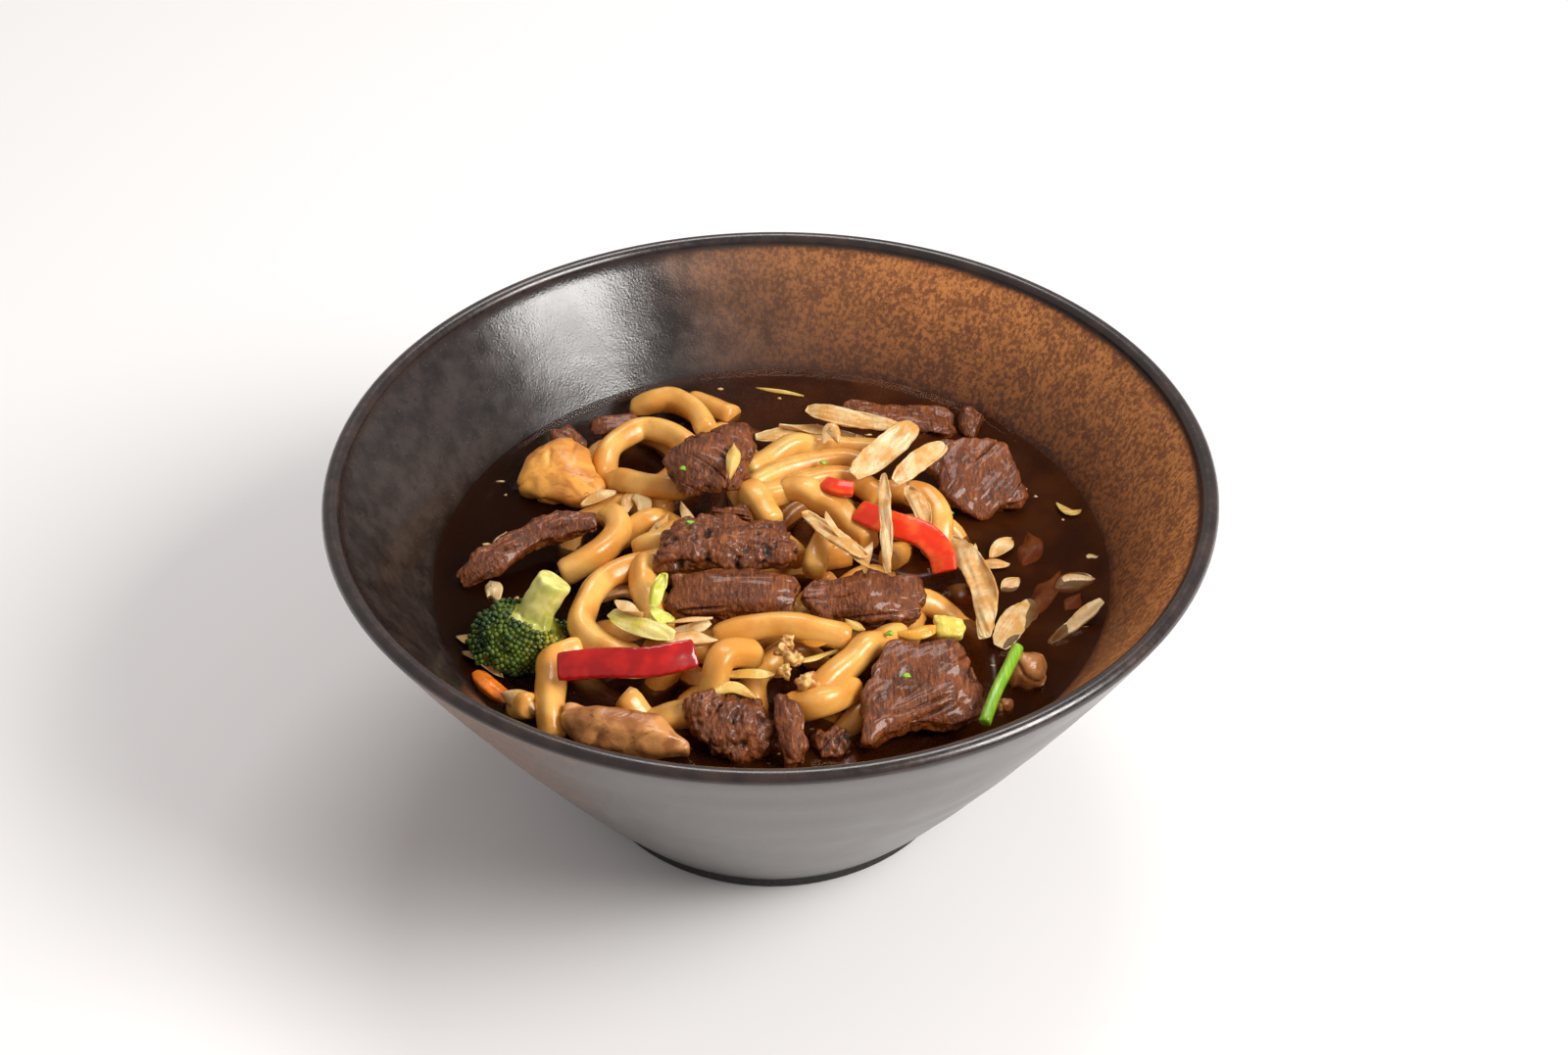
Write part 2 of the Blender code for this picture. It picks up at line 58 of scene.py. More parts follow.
# Driving sizes, from the frame where it has them
RIM_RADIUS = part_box("bowl")[1][0] / MM
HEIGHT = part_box("bowl")[1][2] / MM
BROTH_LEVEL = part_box("broth")[1][2] / MM
LIP = 4.2
FOOT_RADIUS = 47.0
FOOT_HEIGHT = 5.0
FOOT_WALL = 5.0
FLOOR_TOP = 11.5
NOODLE_RADIUS = 3.4

# The heap of noodles, as in the CAD model: its reach every 45 degrees from +X, and its height
HEAP_REACH = (46, 50, 54, 66, 52, 66, 71, 60)
HEAP_CROWN = 7.0
HEAP_EDGE = 61.5

# The noodles that lie on top, each as points that its middle passes through
STRANDS = (
    ((-20, 38, 70), (-26, 46, 69), (-34, 49, 68), (-42, 39, 68), (-38, 28, 69), (-28, 22, 70), (-20, 21, 71)),
    ((-36, 65, 62), (-31, 64, 66), (-25, 63, 67), (-19, 56, 68), (-16, 47, 68)),
    ((-21, 70, 62), (-14, 64, 63), (-9, 60, 62)),
    ((-6, 25, 72), (2, 33, 71), (10, 38, 70), (21, 37, 70), (29, 37, 69)),
    ((-5, 18, 73), (4, 25, 73), (17, 30, 72), (25, 28, 71)),
    ((-3, 13, 71), (3, 15, 74), (13, 20, 74), (21, 20, 73), (27, 14, 72)),
    ((-6, 14, 74), (-2, 7, 75), (1, 1, 74)),
    ((3, 16, 72), (10, 12, 75), (17, 7, 75), (21, 3, 73), (24, -2, 71)),
    ((33, 17, 72), (38, 16, 71), (41, 11, 70), (41, 5, 68), (38, 1, 66)),
    ((13, -2, 73), (11, -8, 73), (10, -14, 71)),
    ((-40, 15, 66), (-37, 7, 69), (-40, 0, 69), (-45, -4, 68), (-51, -6, 65)),
    ((-25, -7, 71), (-39, -15, 72), (-44, -28, 71), (-42, -34, 70), (-36, -39, 70), (-30, -41, 68)),
    ((-30, -10, 71), (-30, -19, 72), (-27, -27, 72), (-25, -32, 71)),
    ((-33, -2, 69), (-27, -1, 71), (-22, 5, 71)),
    ((-13, -37, 72), (-5, -36, 74), (3, -36, 75), (11, -37, 74), (19, -38, 72)),
    ((-3, -43, 72), (-10, -47, 76), (-14, -53, 75), (-20, -56, 73), (-27, -56, 71), (-34, -52, 68)),
    ((30, -32, 69), (24, -39, 71), (17, -47, 72), (12, -52, 71), (9, -55, 69)),
    ((19, -51, 67), (13, -57, 69), (8, -58, 69), (3, -55, 67)),
    ((-44, -36, 66), (-50, -40, 69), (-50, -47, 69), (-50, -54, 67), (-49, -61, 64)),
    ((-59, -49, 64), (-54, -54, 65)),
)

# The nodes of everything that lies on the noodles or in the broth
TOPPINGS = [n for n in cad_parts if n.split("_")[0] not in ("bowl", "broth", "noodles")]


# ---- materials


# Inputs of the Principled shader that aren't named after their keyword
LABELS = {"specular": "Specular IOR Level", "ior": "IOR"}


class Finish:
    """A Principled material that is built up one node at a time."""

    def __init__(self, name, **values):
        self.material = bpy.data.materials.new(name)
        self.material.use_nodes = True
        self.tree = self.material.node_tree
        self.shader = self.tree.nodes["Principled BSDF"]
        for key, value in values.items():
            label = LABELS.get(key, key.replace("_", " ").title())
            self.shader.inputs[label].default_value = value
        self.place = self.node("ShaderNodeTexCoord").outputs["Object"]

    def node(self, kind, inputs=(), **settings):
        """A new node: inputs are values or sockets by input, and settings are its own properties."""
        made = self.tree.nodes.new(kind)
        for key, value in settings.items():
            setattr(made, key, value)
        for key, value in dict(inputs).items():
            self.put(made.inputs[key], value)
        return made

    def put(self, socket, value):
        """Links a socket to an input, or gives the input a plain value."""
        if isinstance(value, bpy.types.NodeSocket):
            self.tree.links.new(value, socket)
        else:
            socket.default_value = value

    def stretched(self, scale):
        """The object coordinates times a scale for each axis."""
        return self.node("ShaderNodeMapping", {"Vector": self.place, "Scale": scale}).outputs[0]

    def noise(self, size, detail=3.0, roughness=0.55, distortion=0.0, at=None):
        """Noise with features about size millimetres across, as a value from 0 to 1."""
        inputs = {
            "Vector": self.place if at is None else at,
            "Scale": 1 / (size * MM),
            "Detail": detail,
            "Roughness": roughness,
            "Distortion": distortion,
        }
        return self.node("ShaderNodeTexNoise", inputs).outputs["Fac"]

    def span(self, value, low, high, start=0.0, end=1.0):
        """The value's range low to high, turned smoothly into start to end."""
        inputs = {"Value": value, "From Min": low, "From Max": high, "To Min": start, "To Max": end}
        return self.node("ShaderNodeMapRange", inputs, interpolation_type="SMOOTHSTEP").outputs[0]

    def maths(self, operation, a, b=0.0):
        """One operation on two values."""
        return self.node("ShaderNodeMath", {0: a, 1: b}, operation=operation).outputs[0]

    def mix(self, share, a, b, blend="MIX"):
        """Colour a turned to colour b, by share."""
        made = self.node("ShaderNodeMix", data_type="RGBA", blend_type=blend)
        for index, value in ((0, share), (6, a), (7, b)):
            if isinstance(value, tuple):
                value = (*value, 1.0)
            self.put(made.inputs[index], value)
        return made.outputs[2]

    def axis(self, index):
        """One of the object coordinates, in metres."""
        return self.node("ShaderNodeSeparateXYZ", {0: self.place}).outputs[index]

    def soaked(self, colour, depth=7.0, stain=(0.30, 0.11, 0.03)):
        """The colour, stained by the broth where it dips below the level, with painted shade deeper down,
        where the broth takes the light.
        """
        z = self.axis(2)
        level = BROTH_LEVEL * MM
        wet = self.span(z, level + 0.6 * MM, level - 1.6 * MM)
        # painted shade: below the level the colour goes dark with depth, for the light the broth takes
        deep = self.span(z, level - 1.0 * MM, level - depth * MM)
        stained = self.mix(wet, colour, self.mix(1.0, colour, stain, "MULTIPLY"))
        return self.mix(deep, stained, (0.006, 0.002, 0.001))

    def around(self, value, reach):
        """The value, a noise about 0.5, turned to run about 0, times a reach."""
        return self.maths("MULTIPLY", self.maths("SUBTRACT", value, 0.5), reach)

    def bump(self, height, strength, distance):
        """Bumps by a height, distance millimetres deep, on top of any bumps there are."""
        inputs = {"Height": height, "Strength": strength, "Distance": distance * MM}
        if self.shader.inputs["Normal"].is_linked:
            inputs["Normal"] = self.shader.inputs["Normal"].links[0].from_socket
        self.put(self.shader.inputs["Normal"], self.node("ShaderNodeBump", inputs).outputs[0])

    def colour(self, value):
        self.put(self.shader.inputs["Base Color"], value)

    def rough(self, value):
        self.put(self.shader.inputs["Roughness"], value)


def glaze_inside():
    """Charcoal on the left and mottled rust on the right, darker where the broth has wet it."""
    f = Finish("glaze_inside", specular=0.6)
    patches = f.noise(24, 3)
    blotches = f.noise(6, 4, 0.6)
    grain = f.noise(1.1, 4, 0.7, at=f.stretched((1, 1, 0.7)))
    speckle = f.noise(0.55, 2)
    height = f.axis(2)
    high = f.span(height, 62 * MM, 90 * MM)
    turn = f.maths("ADD", f.axis(0), f.around(patches, 50 * MM))
    turn = f.maths("ADD", turn, f.maths("MULTIPLY", high, 12 * MM))
    rusty = f.span(turn, -30 * MM, 16 * MM)
    ground = f.mix(high, (0.080, 0.020, 0.004), (0.24, 0.075, 0.018))
    flame = f.mix(high, (0.24, 0.075, 0.015), (0.64, 0.24, 0.060))
    amount = f.maths("ADD", grain, f.around(blotches, 0.35))
    rust = f.mix(f.span(amount, 0.40, 0.62), ground, flame)
    rust = f.mix(f.span(speckle, 0.60, 0.74, 0.0, 0.6), rust, (0.045, 0.018, 0.008))
    behind = f.span(f.axis(1), 20 * MM, 85 * MM)
    back = f.maths("MULTIPLY", behind, f.span(f.axis(0), 55 * MM, -10 * MM))
    rust = f.mix(f.maths("MULTIPLY", back, 0.6), rust, (0.085, 0.036, 0.018))
    char = f.mix(f.span(blotches, 0.3, 0.7), (0.012, 0.008, 0.007), (0.036, 0.026, 0.023))
    char = f.mix(f.span(speckle, 0.64, 0.76, 0.0, 0.5), char, (0.11, 0.095, 0.085))
    char = f.mix(f.span(f.noise(3.5, 2), 0.62, 0.7, 0.0, 0.6), char, (0.008, 0.005, 0.004))
    glaze = f.mix(rusty, char, rust)
    wet = f.span(height, (BROTH_LEVEL + 3.5) * MM, (BROTH_LEVEL + 0.5) * MM)
    glaze = f.mix(wet, glaze, f.mix(1.0, glaze, (0.45, 0.36, 0.30), "MULTIPLY"))
    uneven = f.maths("ADD", height, f.maths("MULTIPLY", patches, 1.2 * MM))
    edge = f.span(uneven, 90.3 * MM, 91.6 * MM)
    glaze = f.mix(edge, glaze, (0.020, 0.010, 0.008))
    f.colour(f.soaked(glaze, depth=9.0))
    mild = f.span(patches, 0.35, 0.65, 0.16, 0.27)
    f.rough(f.maths("ADD", mild, f.maths("MULTIPLY", rusty, 0.28)))
    f.bump(speckle, 0.4, 0.14)
    f.bump(f.noise(11, 2), 0.16, 0.8)
    return f.material


def glaze_lip():
    """The dark lip, worn a little browner in places."""
    f = Finish("glaze_lip", specular=0.6, coat_weight=0.3, coat_roughness=0.12)
    f.colour(f.mix(f.span(f.noise(9, 3), 0.4, 0.7), (0.012, 0.006, 0.005), (0.035, 0.017, 0.012)))
    f.rough(f.span(f.noise(2, 2), 0.3, 0.7, 0.2, 0.34))
    f.bump(f.noise(1.2, 2), 0.2, 0.1)
    return f.material


def glaze_outside():
    """Satin grey-brown, cloudy, with a copper tint on the left below the rim."""
    f = Finish("glaze_outside", specular=0.6, coat_weight=0.35, coat_roughness=0.22)
    clouds = f.noise(26, 3, 0.5, 0.6)
    grain = f.noise(1.1, 3)
    grey = f.mix(f.span(clouds, 0.35, 0.68), (0.040, 0.031, 0.029), (0.105, 0.090, 0.085))
    grey = f.mix(f.span(grain, 0.55, 0.75, 0.0, 0.4), grey, (0.045, 0.033, 0.028))
    side = f.maths("ADD", f.axis(0), f.around(clouds, 50 * MM))
    left = f.span(side, -28 * MM, -66 * MM)
    high = f.span(f.axis(2), 30 * MM, 55 * MM)
    copper = f.mix(f.span(grain, 0.35, 0.65), (0.10, 0.036, 0.015), (0.26, 0.105, 0.045))
    tint = f.maths("MULTIPLY", f.maths("MULTIPLY", left, high), 0.85)
    f.colour(f.mix(tint, grey, copper))
    f.rough(f.span(clouds, 0.3, 0.7, 0.3, 0.46))
    f.bump(grain, 0.12, 0.12)
    return f.material


def bare_foot():
    """The unglazed foot: near black and matte, with fine grit."""
    f = Finish("bare_foot", roughness=0.7)
    f.colour(f.mix(f.span(f.noise(0.8, 3), 0.4, 0.7), (0.008, 0.007, 0.006), (0.028, 0.023, 0.020)))
    f.bump(f.noise(0.7, 3), 0.5, 0.2)
    return f.material


def broth_finish():
    """Dark soy broth, browner on the right as a painted reflection of the rusty wall, that lets a little of
    what lies just under it show.
    """
    f = Finish("broth", roughness=0.03, specular=0.16, ior=1.33, alpha=0.55)
    brown = f.mix(f.span(f.noise(14, 2), 0.4, 0.7), (0.042, 0.009, 0.0014), (0.080, 0.019, 0.0026))
    # painted reflection: browner towards the right, where the rusty wall shows in the broth
    f.colour(f.mix(f.span(f.axis(0), -45 * MM, 20 * MM), (0.018, 0.0045, 0.0015), brown))
    f.shader.inputs["Specular Tint"].default_value = (1.0, 0.70, 0.52, 1)
    f.bump(f.noise(6, 1), 0.08, 0.3)
    return f.material


def noodle_finish():
    """Cream wheat noodle, amber where the broth has soaked in, with painted shade on noodles deep in the
    pile.
    """
    f = Finish("noodle", specular=0.5, subsurface_weight=0.22, subsurface_scale=2 * MM)
    f.shader.inputs["Subsurface Radius"].default_value = (1.0, 0.55, 0.25)
    tone = f.noise(12, 3, 0.5, 0.4)
    speck = f.noise(2.2, 3)
    colour = f.mix(f.span(tone, 0.36, 0.62), (0.82, 0.45, 0.11), (0.68, 0.29, 0.045))
    colour = f.mix(f.span(speck, 0.58, 0.78, 0.0, 0.4), colour, (0.62, 0.24, 0.035))
    # painted shade: noodles lying deeper in the pile are darkened
    sunk = f.node("ShaderNodeAttribute", attribute_name="sunk").outputs["Fac"]
    colour = f.mix(f.span(sunk, 0.15, 1.0, 0.0, 0.8), colour, (0.30, 0.085, 0.012))
    near_broth = f.span(f.axis(2), (BROTH_LEVEL + 7) * MM, (BROTH_LEVEL - 0.5) * MM, 0.0, 0.45)
    colour = f.mix(near_broth, colour, (0.56, 0.23, 0.045))
    f.colour(f.soaked(colour, depth=8.0))
    f.rough(f.span(speck, 0.3, 0.7, 0.18, 0.32))
    f.bump(f.noise(1.4, 3), 0.2, 0.2)
    return f.material


def beef_finish():
    """Braised beef: red-brown with lighter fibres, painted shade in its creases and between its fibres, and
    wet highlights.
    """
    f = Finish("beef", specular=0.3, coat_weight=0.35, coat_roughness=0.1)
    broad = f.noise(8, 3, 0.55, 0.6)
    threads = f.noise(0.9, 4, 0.6, 0.3, at=f.stretched((1.3, 0.25, 0.8)))
    grit = f.noise(0.6, 3, 0.65)
    colour = f.mix(f.span(broad, 0.38, 0.62), (0.115, 0.026, 0.004), (0.190, 0.046, 0.007))
    colour = f.mix(f.span(threads, 0.50, 0.68, 0.0, 0.75), colour, (0.34, 0.105, 0.022))
    # painted shade in the grooves between the fibres, where the bump sinks
    colour = f.mix(f.span(threads, 0.47, 0.32, 0.0, 0.85), colour, (0.042, 0.010, 0.003))
    # painted shade in the creases and torn pits that the moulding marks
    dips = f.node("ShaderNodeAttribute", attribute_name="crease_shade").outputs["Fac"]
    colour = f.mix(f.span(dips, 0.2, 0.9, 0.0, 0.9), colour, (0.020, 0.006, 0.003))
    f.colour(f.soaked(colour, depth=8.0, stain=(0.50, 0.30, 0.20)))
    f.rough(f.span(broad, 0.40, 0.60, 0.28, 0.5))
    f.bump(threads, 0.9, 0.6)
    f.bump(grit, 0.8, 0.3)
    return f.material


def mushroom_finish(name, pale, brown):
    """Cooked shiitake: glossy with brown clouds and a few dark wrinkles."""
    f = Finish(name, roughness=0.26, specular=0.45, subsurface_weight=0.08, subsurface_scale=2 * MM)
    clouds = f.noise(9, 3, 0.5, 0.5)
    wrinkles = f.noise(3.2, 3, 0.6, 1.4, at=f.stretched((0.7, 1.5, 1)))
    colour = f.mix(f.span(clouds, 0.38, 0.62), pale, brown)
    colour = f.mix(f.span(wrinkles, 0.6, 0.75, 0.0, 0.7), colour, (0.12, 0.04, 0.012))
    f.colour(f.soaked(colour, stain=(0.40, 0.22, 0.10)))
    f.bump(wrinkles, 0.4, 0.5)
    f.bump(f.noise(0.8, 2), 0.2, 0.2)
    return f.material


def pepper_finish():
    """Red pepper skin: deep red, wet and smooth."""
    f = Finish("pepper", roughness=0.2, specular=0.3, coat_weight=0.6, coat_roughness=0.05)
    colour = f.mix(f.span(f.noise(6, 2), 0.4, 0.65), (0.34, 0.002, 0.002), (0.52, 0.008, 0.004))
    f.colour(f.soaked(colour))
    f.bump(f.noise(1.2, 2), 0.12, 0.12)
    return f.material


def bright_pepper_finish():
    """The cut flesh side of a pepper: a lighter orange-red."""
    f = Finish("pepper_bright", roughness=0.24, specular=0.3, coat_weight=0.2, coat_roughness=0.12)
    colour = f.mix(f.span(f.noise(5, 2), 0.4, 0.65), (0.78, 0.035, 0.008), (0.85, 0.10, 0.015))
    f.colour(f.soaked(colour))
    f.bump(f.noise(1.2, 2), 0.15, 0.15)
    return f.material


def cabbage_finish(name="cabbage", pale=(0.84, 0.60, 0.30), warm=(0.72, 0.37, 0.10)):
    """Cooked cabbage: pale and a little see-through, with faint ribs along it."""
    f = Finish(name, roughness=0.2, specular=0.5, alpha=0.84, subsurface_weight=0.2, subsurface_scale=2 * MM)
    ribs = f.noise(0.8, 3, 0.6, 0.3, at=f.stretched((1.2, 0.3, 1)))
    colour = f.mix(f.span(f.noise(5, 3), 0.40, 0.62), pale, warm)
    colour = f.mix(f.span(ribs, 0.54, 0.74, 0.0, 0.5), colour, tuple(0.7 * c for c in warm))
    f.colour(f.soaked(colour, stain=(0.62, 0.30, 0.10)))
    f.bump(ribs, 0.4, 0.35)
    return f.material


def carrot_finish():
    """Cooked carrot: orange, a little mottled."""
    f = Finish("carrot", roughness=0.25, subsurface_weight=0.1, subsurface_scale=2 * MM)
    colour = f.mix(f.span(f.noise(3, 3), 0.4, 0.65), (0.80, 0.20, 0.012), (0.60, 0.13, 0.01))
    f.colour(f.soaked(colour))
    f.bump(f.noise(0.9, 2), 0.3, 0.2)
    return f.material


def stem_finish():
    """Broccoli stem: pale yellow-green, streaked along its length."""
    f = Finish("stem", roughness=0.3, specular=0.5, subsurface_weight=0.15, subsurface_scale=2 * MM)
    streaks = f.noise(1.2, 3, 0.5, 0.2, at=f.stretched((0.5, 0.6, 0.4)))
    colour = f.mix(f.span(streaks, 0.4, 0.65), (0.80, 0.72, 0.24), (0.58, 0.58, 0.13))
    low = f.span(f.axis(2), 77 * MM, 68 * MM)
    colour = f.mix(low, colour, (0.30, 0.31, 0.03))
    f.colour(f.soaked(colour))
    f.bump(streaks, 0.25, 0.3)
    return f.material


def bud_finish():
    """Broccoli buds: dark green, yellower towards the stem."""
    f = Finish("buds", roughness=0.38, specular=0.5)
    colour = f.mix(f.span(f.noise(4, 2), 0.38, 0.62), (0.012, 0.040, 0.003), (0.075, 0.12, 0.006))
    stemward = f.span(f.axis(0), -59 * MM, -50 * MM)
    yellow = f.maths("MULTIPLY", stemward, f.span(f.noise(2.2, 2), 0.45, 0.6))
    colour = f.mix(yellow, colour, (0.36, 0.30, 0.02))
    f.colour(f.soaked(colour, stain=(0.35, 0.35, 0.12)))
    f.bump(f.noise(0.5, 2), 0.4, 0.2)
    return f.material


def chive_finish():
    """Fresh chive: bright green, streaked along its length."""
    f = Finish("chive", roughness=0.3, specular=0.5, coat_weight=0.2, coat_roughness=0.15)
    streaks = f.noise(0.7, 2, 0.5, at=f.stretched((1, 0.12, 0.3)))
    f.colour(f.mix(f.span(streaks, 0.4, 0.65), (0.17, 0.40, 0.012), (0.30, 0.50, 0.035)))
    f.bump(streaks, 0.3, 0.2)
    return f.material


def crust_finish():
    """Golden fried bits."""
    f = Finish("crust", roughness=0.4, coat_weight=0.2, coat_roughness=0.2)
    f.colour(f.mix(f.span(f.noise(2.5, 3), 0.4, 0.65), (0.80, 0.50, 0.16), (0.42, 0.15, 0.03)))
    f.bump(f.noise(0.8, 3), 0.5, 0.4)
    return f.material


def floor_finish():
    """A plain, nearly white ground."""
    f = Finish("floor", roughness=0.75, specular=0.25)
    f.colour(f.mix(f.noise(300, 2), (0.86, 0.855, 0.855), (0.88, 0.875, 0.875)))
    return f.material


# ---- mesh helpers


def new_object(name, data):
    """A new object in the scene."""
    obj = bpy.data.objects.new(name, data)
    bpy.context.scene.collection.objects.link(obj)
    return obj


def add(name, points, faces, finishes, of=None):
    """A new piece from points in millimetres. finishes is one material, or several with of(face)."""
    mesh = bpy.data.meshes.new(name)
    mesh.from_pydata([tuple(c * MM for c in p) for p in points], [], faces)
    for finish in finishes if isinstance(finishes, list) else [finishes]:
        mesh.materials.append(finish)
    if of is not None:
        mesh.polygons.foreach_set("material_index", [of(i) for i in range(len(mesh.polygons))])
    mesh.shade_smooth()
    return new_object(name, mesh)


def stitch(faces, first, count, sides):
    """Closes count rings of points, each with so many sides, into a tube with flat ends."""
    for i in range(count - 1):
        row = first + i * sides
        for k in range(sides):
            n = (k + 1) % sides
            faces.append((row + k, row + n, row + sides + n, row + sides + k))
    faces.append(tuple(first + k for k in reversed(range(sides))))
    faces.append(tuple(first + (count - 1) * sides + k for k in range(sides)))


def join_in(obj, slot, *nodes):
    """Puts a piece on the one body, and hides the nodes that it stands for."""
    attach(obj, BODY)
    if nodes:
        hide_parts(*nodes)
    return obj


def spline(points, steps):
    """A smooth curve through the points: steps samples to each stretch, as a Catmull-Rom spline."""
    p = [Vector(c) for c in points]
    p = [2 * p[0] - p[1], *p, 2 * p[-1] - p[-2]]
    made = []
    for a, b, c, d in zip(p, p[1:], p[2:], p[3:]):
        for i in range(steps):
            t = i / steps
            cubic = 3 * b - a - 3 * c + d
            square = 2 * a - 5 * b + 4 * c - d
            made.append(0.5 * (2 * b + (c - a) * t + square * t**2 + cubic * t**3))
    return [*made, p[-2]]


def even(line, step):
    """The same line with points an even step apart."""
    made, left = [line[0]], step
    for a, b in zip(line, line[1:]):
        length = (b - a).length
        while left <= length:
            made.append(a.lerp(b, left / length))
            left += step
        left -= length
    return made


def bezier(corners, steps):
    """Points along a cubic Bezier through (radius, height) corners, both ends included."""
    p = [Vector(c) for c in corners]
    made = []
    for i in range(steps + 1):
        t = i / steps
        s = 1 - t
        made.append(s**3 * p[0] + 3 * s * s * t * p[1] + 3 * s * t * t * p[2] + t**3 * p[3])
    return made


# ---- the bowl

# The wall's inside and outside, as (radius, height) from the lip down
INNER_WALL = bezier(((RIM_RADIUS - LIP, HEIGHT - 2), (70, 53), (60, FLOOR_TOP), (22, FLOOR_TOP)), 44)
OUTER_WALL = bezier(((RIM_RADIUS, HEIGHT - 2), (94, 70), (66, 26), (FOOT_RADIUS + 2, FOOT_HEIGHT)), 44)

# Which finish a part of the bowl has
INSIDE, EDGE, OUTSIDE, FOOT = range(4)


def inner_radius(height):
    """The bowl's inside radius at a height."""
    for upper, lower in zip(INNER_WALL, INNER_WALL[1:]):
        if lower.y <= height <= upper.y:
            t = (height - lower.y) / (upper.y - lower.y)
            return lower.x + t * (upper.x - lower.x)
    return INNER_WALL[0].x


def bowl_profile():
    """The bowl's outline as (radius, height), from under the foot to the floor, and each row's finish."""
    lip_centre = (RIM_RADIUS - LIP / 2, HEIGHT - LIP / 2)
    lip = []
    for i in range(1, 14):
        a = math.pi * i / 14
        lip.append((lip_centre[0] + LIP / 2 * math.cos(a), lip_centre[1] + LIP / 2 * math.sin(a)))
    inner_foot = FOOT_RADIUS - FOOT_WALL
    recess = FOOT_HEIGHT - 1.5
    foot = [
        (0, recess),
        (inner_foot - 1.4, recess),
        (inner_foot - 0.6, FOOT_HEIGHT - 1.9),
        (inner_foot, 1.0),
        (inner_foot + 0.3, 0.3),
        (inner_foot + 0.9, 0),
        (FOOT_RADIUS - 0.9, 0),
        (FOOT_RADIUS - 0.2, 0.3),
        (FOOT_RADIUS, 1.0),
        (FOOT_RADIUS + 0.2, FOOT_HEIGHT - 1.6),
        (FOOT_RADIUS + 0.6, FOOT_HEIGHT - 0.7),
    ]
    outside = [tuple(p) for p in reversed(OUTER_WALL)]
    inside = [tuple(p) for p in INNER_WALL] + [(0, FLOOR_TOP)]
    kinds = [FOOT] * len(foot) + [OUTSIDE] * (len(outside) - 1) + [EDGE] * (len(lip) + 1)
    return foot + outside + lip + inside, kinds + [INSIDE] * len(inside)


def make_bowl():
    """The bowl, turned finely about its axis, with the slight waver of a hand-thrown wall."""
    segments = 224
    profile, kinds = bowl_profile()
    points, rows = [], []
    for radius, height in profile:
        count = segments if radius > 0 else 1
        rows.append((len(points), count))
        for k in range(count):
            a = 2 * math.pi * k / segments
            waver = 0.0
            if FOOT_HEIGHT + 4 < height < HEIGHT - 4:
                waver = 0.25 * noise(Vector((math.cos(a) * 1.3, math.sin(a) * 1.3, height / 9)))
            points.append(((radius + waver) * math.cos(a), (radius + waver) * math.sin(a), height))
    faces, kind_of = [], []
    for row, ((low, low_count), (high, high_count)) in enumerate(zip(rows, rows[1:])):
        for k in range(segments):
            n = (k + 1) % segments
            corners = (low + k % low_count, low + n % low_count, high + n % high_count, high + k % high_count)
            faces.append(list(dict.fromkeys(corners)))
            kind_of.append(kinds[row])
    finishes = [glaze_inside(), glaze_lip(), glaze_outside(), bare_foot()]
    bowl = add("glazed_bowl", points, faces, finishes, of=lambda i: kind_of[i])
    return join_in(bowl, "bowl", "bowl")


# ---- the heap of noodles

GRID = 1.0  # the pile's heights are kept on a grid this fine
REACH = 86  # and this far out from the axis
BORDER = 4  # cells at the grid's edge that a noodle's middle keeps off
PRESSED = 0.85  # a noodle lies this share of its half thickness over what is under it
CORE_DEPTH = 11  # how far the heap's core lies under its surface
EDGE_FALL = 36  # how steeply the heap's surface falls outside its edge


def heap_reach(angle):
    """How far the heap reaches at an angle, easing between the values of HEAP_REACH."""
    place = (angle % (2 * math.pi)) / (2 * math.pi) * len(HEAP_REACH)
    k = int(place)
    ease = (1 - math.cos(math.pi * (place - k))) / 2
    a, b = HEAP_REACH[k % len(HEAP_REACH)], HEAP_REACH[(k + 1) % len(HEAP_REACH)]
    return a + (b - a) * ease


def heap_height(x, y):
    """How high the heap's surface should come at a point."""
    share = math.hypot(x, y) / heap_reach(math.atan2(y, x))
    return HEAP_EDGE + HEAP_CROWN * (1 - share**2) if share < 1 else HEAP_EDGE - EDGE_FALL * (share - 1)


def toppings_tree():
    """A search tree over the CAD shapes of all toppings, in metres."""
    work = bmesh.new()
    for name in TOPPINGS:
        work.from_mesh(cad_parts[name].data)
    tree = BVHTree.FromBMesh(work)
    work.free()
    return tree


class Pile:
    """What lies in the bowl so far: the height of its top, and of the toppings' undersides."""

    def __init__(self):
        self.count = int(2 * REACH / GRID) + 1
        self.top = np.zeros((self.count, self.count))
        self.ceiling = np.full((self.count, self.count), 200.0)
        tree = toppings_tree()
        for i in range(self.count):
            for j in range(self.count):
                x, y = i * GRID - REACH, j * GRID - REACH
                self.top[i, j] = heap_height(x, y) - CORE_DEPTH
                hit = tree.ray_cast(Vector((x * MM, y * MM, 0)), Vector((0, 0, 1)))[0]
                if hit:
                    self.ceiling[i, j] = hit.z / MM
        self.dome = []  # how high a noodle's round top stands over its middle, cell by cell
        wide = int(NOODLE_RADIUS / GRID)
        for i in range(-wide, wide + 1):
            for j in range(-wide, wide + 1):
                away = math.hypot(i, j) * GRID
                if away < NOODLE_RADIUS:
                    self.dome.append((i, j, math.sqrt(NOODLE_RADIUS**2 - away**2)))

    def cell(self, x, y):
        """The grid's cell at a point, kept far enough from its border for a noodle."""
        last = self.count - 1
        i, j = round((x + REACH) / GRID), round((y + REACH) / GRID)
        return min(max(i, BORDER), last - BORDER), min(max(j, BORDER), last - BORDER)

    def rest(self, x, y):
        """The height of a noodle's middle that lies on the pile, and the highest it may be."""
        i, j = self.cell(x, y)
        low = max(self.top[i + a, j + b] + h * PRESSED for a, b, h in self.dome if h > 1.8)
        high = min(self.ceiling[i + a, j + b] - h for a, b, h in self.dome)
        return low, high

    def cover(self, line):
        """Raises the pile's top by a noodle along the line."""
        for p in line:
            i, j = self.cell(p.x, p.y)
            for a, b, h in self.dome:
                self.top[i + a, j + b] = max(self.top[i + a, j + b], p.z + h)


